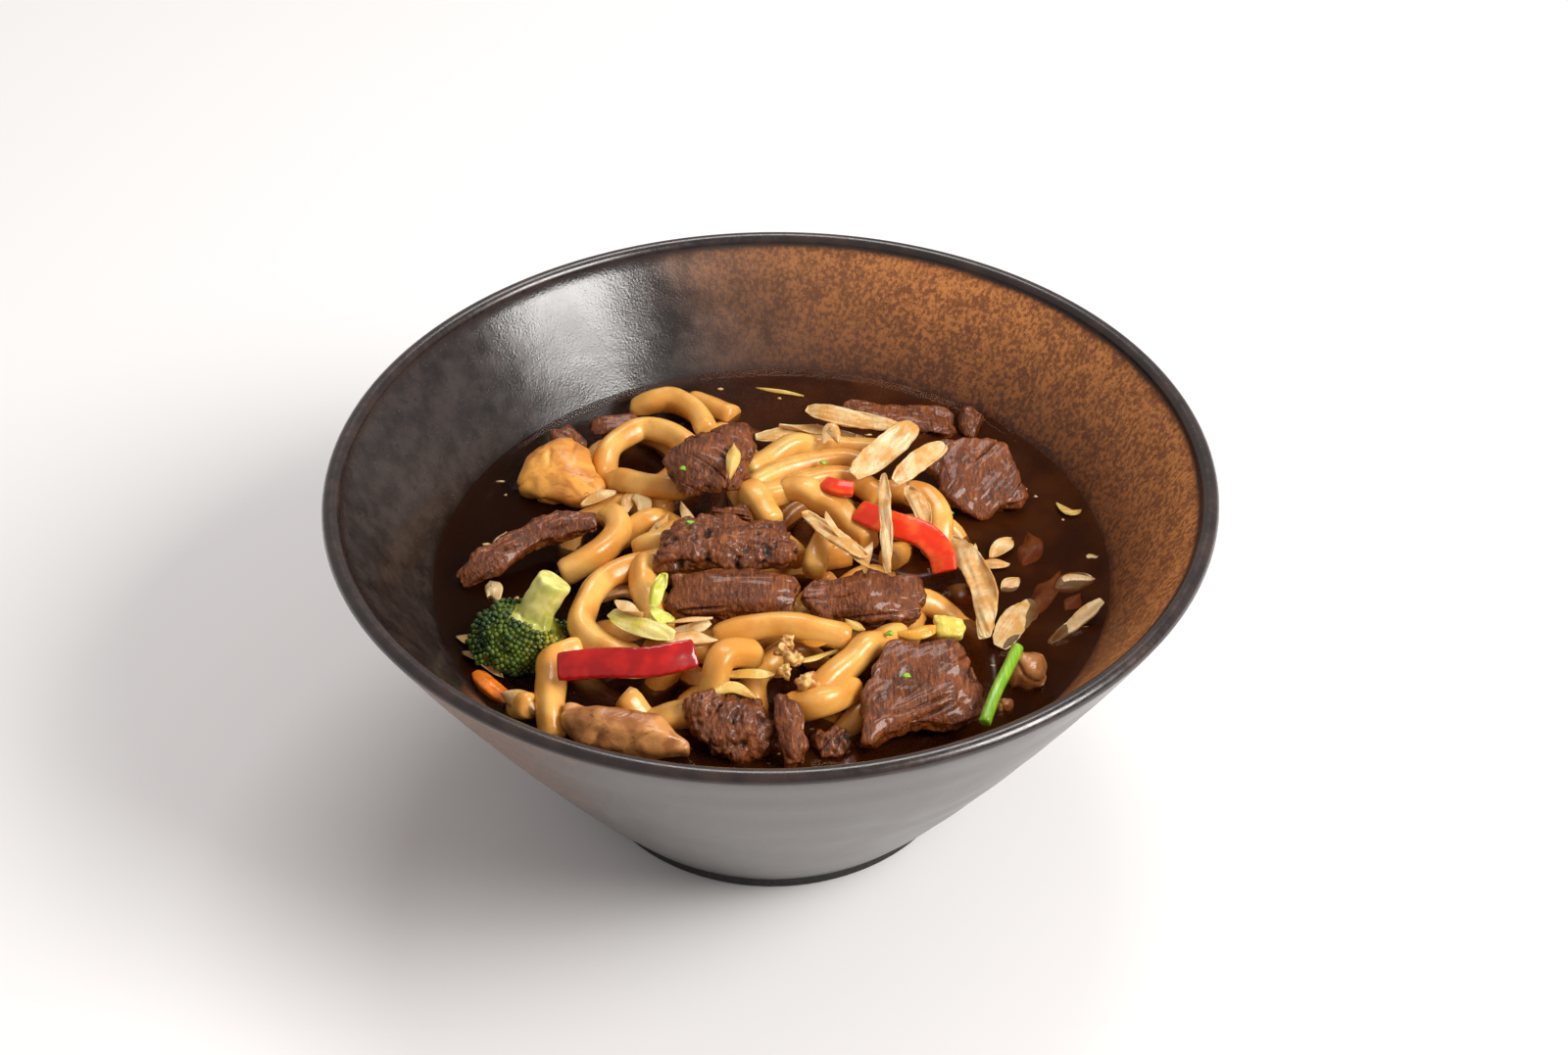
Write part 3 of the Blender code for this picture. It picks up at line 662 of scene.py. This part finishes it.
def smooth(values, times):
    """A list of numbers, each eased towards its neighbours."""
    for _ in range(times):
        ends = [values[0], *values, values[-1]]
        values = [(a + 2 * b + c) / 4 for a, b, c in zip(ends, ends[1:], ends[2:])]
    return values


def wander(rng, start, heading, length, step):
    """A lazily turning path on the heap, which turns back at its edge."""
    x, y = start
    tightest = 0.085
    bend = rng.uniform(-0.05, 0.05)
    line = []
    for _ in range(int(length / step)):
        line.append((x, y))
        bend += rng.uniform(-0.02, 0.02)
        bend = max(-tightest, min(tightest, bend))
        if math.hypot(x, y) > 0.86 * heap_reach(math.atan2(y, x)):
            inward = math.atan2(-y, -x)
            turn = (inward - heading + math.pi) % (2 * math.pi) - math.pi
            bend = math.copysign(tightest, turn)
        heading += bend * step
        x, y = x + step * math.cos(heading), y + step * math.sin(heading)
    return line


def tube(points, faces, line, radius, rng, sides):
    """Adds one noodle to a mesh: a rounded square section that varies a little, with cut ends."""
    power = 3.2  # of the section's superellipse: 2 would be round
    twist = rng.uniform(0, math.pi)
    tick = rng.uniform(-0.012, 0.012)
    shift = Vector((rng.uniform(0, 90), rng.uniform(0, 90), 0))
    side = None
    first = len(points)
    count = len(line)
    for i, middle in enumerate(line):
        along = (line[min(i + 1, count - 1)] - line[max(i - 1, 0)]).normalized()
        if side is None:
            side = along.cross(Vector((0, 0, 1)))
            side = side.normalized() if side.length > 0.01 else Vector((1, 0, 0))
        side = (side - along * side.dot(along)).normalized()
        up = side.cross(along)
        end = min(i, count - 1 - i)
        trim = (0.80, 0.95, 1.0)[min(end, 2)]
        swell = 1 + 0.07 * noise(shift + middle / 6)
        for k in range(sides):
            a = 2 * math.pi * k / sides
            square = 1 / (abs(math.cos(a)) ** power + abs(math.sin(a)) ** power) ** (1 / power)
            reach = radius * trim * swell * (0.94 * square / 1.06 + 0.02 * math.sin(2 * a + i * 0.2))
            b = a + twist + tick * i
            points.append(middle + side * (reach * math.cos(b)) + up * (reach * math.sin(b)))
    stitch(faces, first, count, sides)


def lay_hidden(points, faces, pile, rng):
    """Lays noodles that wander over the heap's core, where they stay under its surface."""
    tries, step = 700, 1.3
    spare = 1.2  # a noodle's middle may come this far over the heap's surface
    most_over = 0.12  # and may be higher than that for this share of its length
    for _ in range(tries):
        a, r = rng.uniform(0, 2 * math.pi), math.sqrt(rng.random())
        start = (r * 0.95 * heap_reach(a) * math.cos(a), r * 0.95 * heap_reach(a) * math.sin(a))
        path = wander(rng, start, rng.uniform(0, 2 * math.pi), rng.uniform(45, 110), step)
        bounds = [pile.rest(x, y) for x, y in path]
        heights = smooth([min(low, high) for low, high in bounds], 10)
        over = sum(z - spare > heap_height(x, y) for z, (x, y) in zip(heights, path))
        if over > most_over * len(path):
            continue
        heights = [min(z, high) for z, (low, high) in zip(heights, bounds)]
        line = [Vector((x, y, z)) for (x, y), z in zip(path, smooth(heights, 4))]
        pile.cover(line)
        tube(points, faces, line, NOODLE_RADIUS * rng.uniform(0.93, 1.03), rng, sides=12)


def lay_strands(points, faces, pile, rng):
    """Lays the noodles on top by their routes, sunk a little into what they lie on."""
    sink, lift, give = 1.5, 2, 0.6  # into the pile, over the route, and into a topping
    for route in STRANDS:
        line = even(spline(route, 12), 1.0)
        heights = []
        for p in line:
            low, high = pile.rest(p.x, p.y)
            heights.append(min(max(p.z, min(low - sink, p.z + lift)), high + give))
        line = [Vector((p.x, p.y, z)) for p, z in zip(line, smooth(heights, 6))]
        pile.cover(line)
        tube(points, faces, line, NOODLE_RADIUS * rng.uniform(0.98, 1.05), rng, sides=18)


def make_noodles(pile):
    """The heap: a core, hidden noodles over it, and the ones that lie on top."""
    rng = random.Random(11)
    points, faces = [], []
    lay_hidden(points, faces, pile, rng)
    lay_strands(points, faces, pile, rng)
    finish = noodle_finish()
    strands = join_in(add("udon_strands", points, faces, finish), "noodles", "noodles")
    mark_pile_shade(strands, pile)
    join_in(make_core(finish), "noodles")


def mark_pile_shade(strands, pile):
    """Marks how deep in the pile each point lies, for the noodles' painted shade: 0 on top, 1 where it is a
    noodle and a half down.
    """
    deep = 3 * NOODLE_RADIUS
    sunk = strands.data.attributes.new("sunk", "FLOAT", "POINT")
    for i, vert in enumerate(strands.data.vertices):
        x, y, z = vert.co / MM
        over = pile.top[pile.cell(x, y)] - z - NOODLE_RADIUS
        sunk.data[i].value = max(0.0, min(1.0, over / deep))


def make_core(finish):
    """The heap's core: a low mound under the strands, down to the bowl's floor."""
    rings, sectors = 26, 72
    points = [(0, 0, heap_height(0, 0) - CORE_DEPTH)]
    for ring in range(1, rings + 1):
        for k in range(sectors):
            a = 2 * math.pi * k / sectors
            share = ring / rings
            r = heap_reach(a) * share * 0.97
            x, y = r * math.cos(a), r * math.sin(a)
            lump = 1.5 * noise(Vector((x / 8, y / 8, 2)))
            points.append((x, y, heap_height(x, y) - CORE_DEPTH + lump - 6 * share**8))
    for z in (44, 28, FLOOR_TOP + 0.6):
        for k in range(sectors):
            a = 2 * math.pi * k / sectors
            r = min(heap_reach(a) * 0.95, inner_radius(z) - 4)
            points.append((r * math.cos(a), r * math.sin(a), z))
    faces = [(0, 1 + k, 1 + (k + 1) % sectors) for k in range(sectors)]
    for ring in range(rings + 2):
        row = 1 + ring * sectors
        for k in range(sectors):
            n = (k + 1) % sectors
            faces.append((row + k, row + sectors + k, row + sectors + n, row + n))
    faces.append(tuple(len(points) - sectors + k for k in range(sectors)))
    return add("udon_core", points, faces, finish)


# ---- the toppings


def fine(node, name, levels, finish):
    """A smooth, finely divided copy of a CAD node's mesh as a new piece."""
    work = bmesh.new()
    work.from_mesh(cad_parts[node].data)
    bmesh.ops.remove_doubles(work, verts=work.verts, dist=0.00002)
    mesh = bpy.data.meshes.new(name)
    work.to_mesh(mesh)
    work.free()
    obj = new_object(name, mesh)
    for kind, count in (("SIMPLE", 1), ("CATMULL_CLARK", levels - 1)):
        divide = obj.modifiers.new(kind, "SUBSURF")
        divide.subdivision_type = kind
        divide.levels = divide.render_levels = count
    bpy.context.view_layer.update()
    graph = bpy.context.evaluated_depsgraph_get()
    done = bpy.data.meshes.new_from_object(obj.evaluated_get(graph))
    obj.modifiers.clear()
    obj.data = done
    done.materials.clear()
    done.materials.append(finish)
    done.shade_smooth()
    return obj


def principal_axes(mesh):
    """A mesh's middle, and its long, middle and short directions, in millimetres."""
    co = np.empty(len(mesh.vertices) * 3)
    mesh.vertices.foreach_get("co", co)
    co = co.reshape(-1, 3) / MM
    middle = co.mean(axis=0)
    _, turn = np.linalg.eigh(np.cov((co - middle).T))
    axes = [Vector(turn[:, k]) for k in (2, 1, 0)]
    axes = [v if v[int(np.argmax(np.abs(v)))] > 0 else -v for v in axes]
    return Vector(middle), axes


def mould(obj, change):
    """Moves each point of a piece along its normal.

    change gets the point in the piece's own axes, and how squarely its normal faces along the short
    one. It gives how far the point moves, and how deep in a crease it lies, from 0 to 1, which is
    kept for the beef's painted crease shade.
    """
    mesh = obj.data
    middle, axes = principal_axes(mesh)
    normals = [Vector(v.normal) for v in mesh.vertices]
    # how deep each point lies in a crease, which the beef's finish paints as shade
    dips = mesh.attributes.new("crease_shade", "FLOAT", "POINT")
    for i, (vert, normal) in enumerate(zip(mesh.vertices, normals)):
        p = vert.co / MM
        local = Vector([(p - middle).dot(axis) for axis in axes])
        move, crease_shade = change(local, normal.dot(axes[2]))
        vert.co = (p + normal * move) * MM
        dips.data[i].value = crease_shade
    return obj


def meat(seed, grain, torn):
    """How a braised slice's surface runs: broad planes, threads along its grain, and torn places."""
    shift = Vector((seed * 13.7, seed * 5.1, seed * 2.9))

    def change(local, facing):
        along = local.copy()
        along[grain] *= 0.12
        edge = 1 - abs(facing)
        plane = noise(shift + local / 12)
        thread = noise(shift * 3 + along / 1.3)
        wide_thread = noise(shift * 4 + along / 3.0)
        shred = 0.7 * noise(shift * 5 + local / 3.4) + 0.5 * noise(shift * 7 + local / 1.4)
        split = max(0.0, 1 - abs(noise(shift * 2 + along / 5.0)) * 8) ** 2
        split *= max(0.0, 0.3 + 1.6 * noise(shift * 6 + local / 9))
        ragged = torn + 0.7 * edge
        pit = max(0.0, -shred - 0.15)
        outline = edge * noise(shift * 8 + local / 5.5)
        move = plane + 2.0 * outline + 0.22 * thread + 0.30 * wide_thread - 1.3 * split
        move += ragged * (0.8 * shred - 1.2 * pit)
        # painted shade: how deep the point lies in a split or torn pit
        crease_shade = 0.9 * split + 2.2 * pit * ragged - 0.2 * thread
        return move + 0.15, max(0.0, min(1.0, crease_shade))

    return change


def make_beef():
    """The braised beef: big pieces finely divided, and small or sunk ones less so."""
    finish = beef_finish()
    grains = {"beef_right": 1, "beef_top": 1, "beef_front": 1}
    torn = {"beef_middle_fold": 1.1, "beef_front": 0.8, "beef_front_small": 0.6, "beef_rear": 0.4}
    rear = ("rear", "rear_end", "rear_left", "rear_corner", "middle_back")
    small = (*rear, "left", "front_small", "front_fold")
    for seed, node in enumerate(n for n in TOPPINGS if n.startswith("beef")):
        levels = 3 if node.removeprefix("beef_") in small else 4
        piece = fine(node, "braised_" + node, levels, finish)
        mould(piece, meat(seed + 1, grains.get(node, 0), torn.get(node, 0.1)))
        join_in(piece, "beef", node)


def cap(seed):
    """How a mushroom's skin runs: gently swollen, with soft folds."""
    shift = Vector((seed * 9.1, 3, 1))

    def change(local, _):
        swell = noise(shift + local / 11)
        fold = max(0.0, 1 - abs(noise(shift + local / 8)) * 6) ** 2
        fold *= max(0.0, 0.5 + noise(shift * 2 + local / 7))
        return 0.9 * swell - 0.9 * fold + 0.2 * noise(shift + local / 2.5), fold

    return change


def make_mushrooms():
    """The mushrooms: the one at the left is amber, and the others are brown."""
    amber = mushroom_finish("mushroom_amber", (0.88, 0.40, 0.075), (0.56, 0.20, 0.035))
    brown = mushroom_finish("mushroom_brown", (0.60, 0.27, 0.085), (0.33, 0.12, 0.035))
    for seed, node in enumerate(n for n in TOPPINGS if n.startswith("mushroom")):
        finish = amber if node == "mushroom_left" else brown
        piece = fine(node, "cooked_" + node, 3, finish)
        join_in(mould(piece, cap(seed)), "mushroom", node)


def leaf(seed, wave, thin):
    """How a leaf or a strip runs: it waves by so much, frays at its edges and is thinner than its solid."""
    shift = Vector((seed * 4.3, 8, seed * 1.7))

    def change(local, facing):
        bend = noise(shift + Vector((local.x / 8, local.y / 5, 0)))
        fray = noise(shift + local / 2.5) * (1 - abs(facing))
        rib = noise(shift * 2 + Vector((local.x / 14, local.y / 1.1, 0))) * abs(facing)
        return wave * (facing * bend + 0.25 * fray + 0.3 * rib) - thin * abs(facing), 0

    return change


def make_leaves():
    """Cabbage, pepper, carrot and chive: the CAD shapes, finely divided and made uneven."""
    finishes = {
        "cabbage": cabbage_finish(),
        "cabbage_core": cabbage_finish("cabbage_core", (0.92, 0.72, 0.14), (0.85, 0.60, 0.08)),
        "cabbage_left": cabbage_finish("cabbage_yellow", (0.90, 0.74, 0.28), (0.76, 0.62, 0.10)),
        "cabbage_frill": cabbage_finish("cabbage_frill", (0.80, 0.78, 0.20), (0.62, 0.62, 0.06)),
        "pepper": pepper_finish(),
        "pepper_back": bright_pepper_finish(),
        "carrot": carrot_finish(),
        "chive": chive_finish(),
    }
    finishes["pepper_bit"] = finishes["pepper_back"]
    waves = {"cabbage": 1.3, "pepper": 0.12, "carrot": 0.5, "chive": 0.0}
    thinned = {"cabbage": 0.35}
    for seed, node in enumerate(n for n in TOPPINGS if n.split("_")[0] in waves):
        kind = node.split("_")[0]
        finish = finishes.get(node, finishes[kind])
        piece = fine(node, "cooked_" + node, 3 if kind != "chive" else 2, finish)
        ruffle = leaf(seed, waves[kind], thinned.get(kind, 0.0))
        join_in(mould(piece, ruffle), kind, node)


def sphere(level):
    """Points and faces of an icosphere of radius 1."""
    work = bmesh.new()
    bmesh.ops.create_icosphere(work, subdivisions=level, radius=1)
    points = [v.co.copy() for v in work.verts]
    faces = [tuple(v.index for v in f.verts) for f in work.faces]
    work.free()
    return points, faces


def make_broccoli():
    """The floret: its stem from the CAD shape, and small buds all over the crown."""
    crown = Vector((-59, -29, 65))
    stem_way = Vector((9, 5, 14)).normalized()
    reach = Vector((9.6, 9.2, 7.0))
    stem = fine("broccoli", "broccoli_stem", 2, stem_finish())

    def streaky(local, _):
        return 0.25 * noise(local / 2.5), 0

    join_in(mould(stem, streaky), "broccoli", "broccoli")
    rng = random.Random(5)
    ball, triangles = sphere(2)
    points, faces = [], []
    total = 900
    for i in range(total):
        z = 1 - 2 * (i + 0.5) / total
        a = i * math.pi * (3 - math.sqrt(5))
        flat = math.sqrt(1 - z * z)
        out = Vector((flat * math.cos(a), flat * math.sin(a), z))
        if out.dot(stem_way) > 0.74 + 0.15 * noise(out * 5):
            continue
        lobe = 1 + 0.34 * (0.55 - voronoi(out * 2.1, distance_metric="DISTANCE")[0][0])
        lobe += 0.10 * noise(out * 5)
        middle = crown + Vector([out[k] * (reach[k] + 0.9) * lobe for k in range(3)])
        size = rng.uniform(0.42, 0.85)
        first = len(points)
        points += [middle + v * size * rng.uniform(0.96, 1.04) for v in ball]
        faces += [tuple(first + k for k in t) for t in triangles]
    join_in(add("broccoli_buds", points, faces, bud_finish()), "broccoli")


# ---- small things

# Thin shreds of cabbage that have no node of their own: route, width, thickness, and kind
SHREDS = (
    (((-12, -50, 72), (-5, -51, 73), (2, -51, 73)), 3.4, 1.8, "yellow"),
    (((3, -45, 71), (10, -43, 71), (16, -40, 71)), 3.0, 1.5, "yellow"),
    (((17, -31, 72), (22, -34, 71)), 2.6, 1.3, "yellow"),
    (((6, -39, 73), (14, -40, 73.5)), 3.0, 1.6, "orange"),
    (((28, -36, 72), (34, -37, 73), (39, -34, 72.5)), 3.8, 1.5, "orange"),
    (((-28, -40, 76), (-25, -37, 78), (-22, -37, 77.5)), 3.6, 1.0, "green"),
    (((-27, -33, 78), (-26, -36, 79), (-24, -39, 77)), 3.0, 1.0, "green"),
    (((-24, -35, 75), (-19, -35, 76), (-13, -34, 75.5)), 2.4, 1.0, "pale"),
    (((-25, -40, 74), (-18, -40, 74.5), (-12, -39, 73)), 4.4, 1.5, "pale"),
    (((-36, -30, 77.5), (-32, -34, 78), (-29, -36, 78)), 3.4, 1.3, "pale"),
    (((-16, -57, 72), (-9, -55, 73), (-3, -58, 72)), 3.0, 1.1, "yellow"),
    (((2, 50, 68.5), (11, 47, 69), (22, 44, 69)), 3.2, 1.2, "pale"),
    (((13, 34, 74), (15, 37, 77.5), (17, 33, 75)), 3.6, 1.0, "pale"),
    (((13, -2, 81), (14, -7, 81.5), (17, -12, 80)), 2.0, 0.9, "pale"),
    (((22, -21, 77), (22, -17, 79), (24, -12, 80)), 2.6, 1.2, "pale"),
    (((18, -14, 80), (20, -18, 80), (23, -21, 79)), 2.2, 1.1, "pale"),
    (((-9, 21, 84), (-9, 14, 85), (-10, 8, 83)), 3.4, 1.0, "yellow"),
    (((-22, 12, 73), (-20, 6, 73), (-19, -1, 73)), 3.4, 1.4, "pale"),
    (((-28, 6, 71), (-25, 3, 72), (-25, -3, 72)), 4.0, 1.5, "pale"),
    (((-47, 19, 67), (-42, 21, 68.5), (-38, 23, 68)), 3.6, 1.2, "pale"),
    (((-37, 14, 67), (-34, 21, 69), (-31, 16, 69), (-32, 9, 68)), 4.4, 1.2, "pale"),
    (((-30, -1, 69), (-27, 5, 70), (-25, 11, 70)), 4.6, 2.6, "pale"),
    (((-41, -18, 68), (-35, -17, 69.5), (-29, -20, 69.5)), 5.0, 3.0, "pale"),
    (((-68, 5, 63), (-67, 9, 64), (-65, 12, 64.5)), 2.6, 1.0, "pale"),
    (((-68, -11, 62.5), (-67, -7, 63.5), (-65, -14, 62.5)), 4.0, 1.2, "pale"),
    (((-74, -26, 63.5), (-69, -29, 64.5), (-64, -31, 64)), 2.8, 1.0, "pale"),
    (((-72, -32, 63.5), (-66, -35, 64.5), (-62, -41, 64)), 4.6, 1.3, "pale"),
    (((-61, -49, 65), (-57, -51, 66.5), (-53, -55, 65.5)), 6.0, 4.0, "pale"),
    (((53, 2, 63.2), (57, 6, 64), (59, 9, 63)), 4.6, 1.4, "pale"),
    (((50, 7, 63.3), (48, 1, 63.2)), 2.4, 1.0, "pale"),
    (((50, 0, 63), (55, -1, 63.8), (58, -1, 63)), 4.0, 1.3, "pale"),
    (((55, -10, 62.8), (60, -6, 63.4)), 4.6, 1.6, "pale"),
    (((68, -9, 61.8), (73, -6, 62.2), (78, -6, 62.4)), 5.4, 2.6, "pale"),
    (((61, 1, 61.4), (64, 9, 61.6), (63, 14, 61.4)), 6.0, 1.8, "amber"),
    (((58, -20, 61.2), (64, -12, 61.4), (70, -2, 61.4)), 6.5, 1.8, "amber"),
    (((70, -16, 61.2), (74, -10, 61.4)), 5.0, 1.6, "amber"),
    (((71, 23, 63.2), (74, 19, 63.8), (77, 20, 63.2)), 3.0, 0.9, "yellow"),
    (((-4, 74, 62.9), (3, 72, 63.3), (9, 70, 62.9)), 1.6, 0.8, "yellow"),
)

# Colours of the shreds: pale and warm
SHRED_COLOURS = {
    "pale": ((0.84, 0.60, 0.30), (0.72, 0.37, 0.10)),
    "yellow": ((0.84, 0.58, 0.16), (0.74, 0.42, 0.08)),
    "orange": ((0.86, 0.42, 0.05), (0.76, 0.30, 0.03)),
    "green": ((0.80, 0.78, 0.16), (0.62, 0.62, 0.06)),
    "amber": ((0.80, 0.34, 0.09), (0.60, 0.20, 0.04)),
}

# Golden, curly fried bits: middle and size
CRUSTS = (
    ((4, -43, 76), 2.6),
    ((2.5, -46, 76), 2.4),
    ((5, -48.5, 75.5), 3.0),
    ((3, -51, 74), 2.6),
    ((8, -54, 73), 3.4),
    ((49, -9, 63), 2.6),
)

# Chopped chive: middle
GREEN_BITS = ((-21, 11, 84.5), (44, 15, 67), (-19, -8, 83), (27, -40, 75.5), (30, -55, 76), (13, 24, 76))


def ribbon(points, faces, route, width, thick, rng):
    """Adds a thin, tapering shred to a mesh: it cups, ruffles along its edges and ends raggedly."""
    line = even(spline(route, 10), 0.6)
    sides = 16
    first = len(points)
    tilt = rng.uniform(-0.4, 0.4)
    cup = rng.uniform(-0.5, 0.5)
    shift = rng.uniform(0, 50)
    for i, middle in enumerate(line):
        t = i / (len(line) - 1)
        along = (line[min(i + 1, len(line) - 1)] - line[max(i - 1, 0)]).normalized()
        side = along.cross(Vector((0, 0, 1))).normalized()
        side = Matrix.Rotation(tilt + 0.5 * noise(Vector((shift, i * 0.09, 0))), 3, along) @ side
        up = side.cross(along)
        fit = (1 - 0.9 * abs(2 * t - 1) ** 1.9) * (1 + 0.25 * noise(Vector((shift, i * 0.07, 9))))
        for k in range(sides):
            a = 2 * math.pi * (k + 0.5) / sides
            across, high = math.cos(a), math.sin(a)
            ruffle = 0.5 * noise(Vector((shift + across, i * 0.10, 4))) * abs(across)
            bow = (cup * (across**2 - 0.5) + ruffle) * width / 2
            slim = high * thick / 2 * (0.75 - 0.45 * abs(across))
            points.append(middle + side * (across * width / 2 * fit) + up * (slim + bow))
    stitch(faces, first, len(line), sides)


def blob(points, faces, middle, size, seed, rough, level):
    """Adds an uneven lump to a mesh. size is its reach along X, Y and Z."""
    ball, triangles = sphere(level)
    first = len(points)
    shift = Vector((seed * 3.3, seed * 1.7, seed * 0.9))
    for v in ball:
        grow = 1 + rough * 2 * noise(shift + v * 1.6)
        points.append(Vector(middle) + Vector([v[k] * size[k] * grow for k in range(3)]))
    faces.extend(tuple(first + k for k in t) for t in triangles)


def make_shreds(rng):
    """The thin cabbage shreds, one piece for each colour."""
    for kind, (pale, warm) in SHRED_COLOURS.items():
        finish = cabbage_finish("shred_" + kind, pale, warm)
        points, faces = [], []
        for route, width, thick, of_kind in SHREDS:
            if of_kind == kind:
                ribbon(points, faces, route, width, thick, rng)
        join_in(add("shreds_" + kind, points, faces, finish), "cabbage")


def make_bits():
    """The fried bits and the chopped chive."""
    points, faces = [], []
    for seed, (middle, size) in enumerate(CRUSTS):
        blob(points, faces, middle, (size * 0.6, size * 0.45, size * 0.6), seed, 0.5, 3)
    join_in(add("fried_bits", points, faces, crust_finish()), "cabbage")
    points, faces = [], []
    for seed, middle in enumerate(GREEN_BITS):
        blob(points, faces, middle, (0.9, 0.7, 0.4), seed, 0.4, 2)
    join_in(add("chive_bits", points, faces, chive_finish()), "chive")


def make_flecks(rng):
    """Garlic flecks afloat on the broth, most of them tiny."""
    flecks = 60
    points, faces = [], []
    for seed in range(flecks):
        a, r = rng.uniform(0, 2 * math.pi), rng.uniform(58, 79)
        size = rng.uniform(0.2, 0.45) + 0.5 * rng.random() ** 6
        middle = (r * math.cos(a), r * math.sin(a), BROTH_LEVEL + 0.05)
        blob(points, faces, middle, (size * rng.uniform(0.8, 2.6), size, 0.22), seed, 0.45, 2)
    join_in(add("garlic_flecks", points, faces, cabbage_finish("fleck")), "cabbage")


def make_small_things():
    """Everything without a node of its own."""
    rng = random.Random(3)
    make_shreds(rng)
    make_bits()
    make_flecks(rng)


# ---- the broth


def wetted(pile):
    """How near each cell of the pile's grid is to something that stands in the broth, 1 to 0."""
    noodles = pile.top > BROTH_LEVEL + 0.3
    halo = (noodles | toppings_at_level(pile.count)).astype(float)
    for _ in range(3):
        spread = halo.copy()
        for axis in (0, 1):
            for shift in (-1, 1):
                spread += np.roll(halo, shift, axis)
        halo = spread / 5
    return halo


def make_broth(pile):
    """The broth's surface: it climbs a little up the wall and round what stands in it."""
    step = 0.95
    top_radius = inner_radius(BROTH_LEVEL)
    half = int((top_radius + 1.6) / step)
    halo = wetted(pile)
    points, index = [], {}
    for i in range(-half, half + 1):
        for j in range(-half, half + 1):
            x, y = i * step, j * step
            r = math.hypot(x, y)
            if r > top_radius + 1.5:
                continue
            a, b = pile.cell(x, y)
            climb = 0.85 * math.exp(-max(0.0, top_radius - r) / 0.9)
            lift = 0.55 * min(1.0, halo[a, b] * 1.2)
            ripple = 0.05 * noise(Vector((x / 7, y / 7, 0)))
            index[i, j] = len(points)
            points.append((x, y, BROTH_LEVEL + climb + lift + ripple))
    faces = []
    for i, j in index:
        ring = [(i, j), (i + 1, j), (i + 1, j + 1), (i, j + 1)]
        if all(corner in index for corner in ring):
            faces.append(tuple(index[corner] for corner in ring))
    join_in(add("broth_surface", points, faces, broth_finish()), "broth", "broth")


def toppings_at_level(count):
    """Where a topping stands through the broth's surface, on the pile's grid of count cells a side."""
    tree = toppings_tree()
    found = np.zeros((count, count), dtype=bool)
    for i in range(count):
        for j in range(count):
            start = Vector(((i * GRID - REACH) * MM, (j * GRID - REACH) * MM, BROTH_LEVEL * MM))
            place, _, _, away = tree.find_nearest(start, 2 * MM)
            if place is not None and away < 0.7 * MM:
                found[i, j] = True
    return found


# ---- floor, light and camera


def area_light(name, at, size, power, colour=(1, 1, 1)):
    """A rectangular soft light that faces the food. at and size are metres, and power is watts."""
    aim = Vector((0, 0, 0.06))
    data = bpy.data.lights.new(name, "AREA")
    data.shape = "RECTANGLE"
    data.size, data.size_y = size
    data.energy = power
    data.color = colour
    light = new_object(name, data)
    light.location = at
    light.rotation_euler = (aim - Vector(at)).to_track_quat("-Z", "Y").to_euler()


def make_studio():
    """A wide pale floor just under the foot, even light from all round, and two soft lights."""
    reach = 3000
    corners = [(-reach, -reach, 0), (reach, -reach, 0), (reach, reach, 0), (-reach, reach, 0)]
    floor = add("floor", corners, [(0, 1, 2, 3)], floor_finish())
    floor.location.z = -0.0003
    world = bpy.data.worlds.new("studio")
    world.use_nodes = True
    background = world.node_tree.nodes["Background"]
    background.inputs["Color"].default_value = (1.0, 0.94, 0.92, 1)
    background.inputs["Strength"].default_value = 0.46
    bpy.context.scene.world = world
    area_light("key", (0.85, -0.40, 0.85), (0.55, 0.55), 16.5, (1.0, 0.98, 0.95))
    area_light("back", (0.10, 0.70, 1.45), (0.8, 0.5), 8.5)
    bpy.context.scene.view_settings.view_transform = "Standard"


def make_camera():
    """A 60 mm lens in front of the bowl and above it, looking 38.6 degrees down."""
    data = bpy.data.cameras.new("camera")
    data.lens = 60
    data.sensor_width = 36
    data.clip_start = 0.01
    camera = new_object("camera", data)
    look = Matrix.Rotation(math.radians(90 - 38.57), 4, "X") @ Matrix.Rotation(math.radians(-0.5), 4, "Z")
    camera.matrix_world = Matrix.Translation((0.0031, -0.4899, 0.4654)) @ look
    bpy.context.scene.camera = camera


make_camera()
make_studio()
make_bowl()
pile = Pile()
make_noodles(pile)
make_beef()
make_mushrooms()
make_leaves()
make_broccoli()
make_small_things()
make_broth(pile)
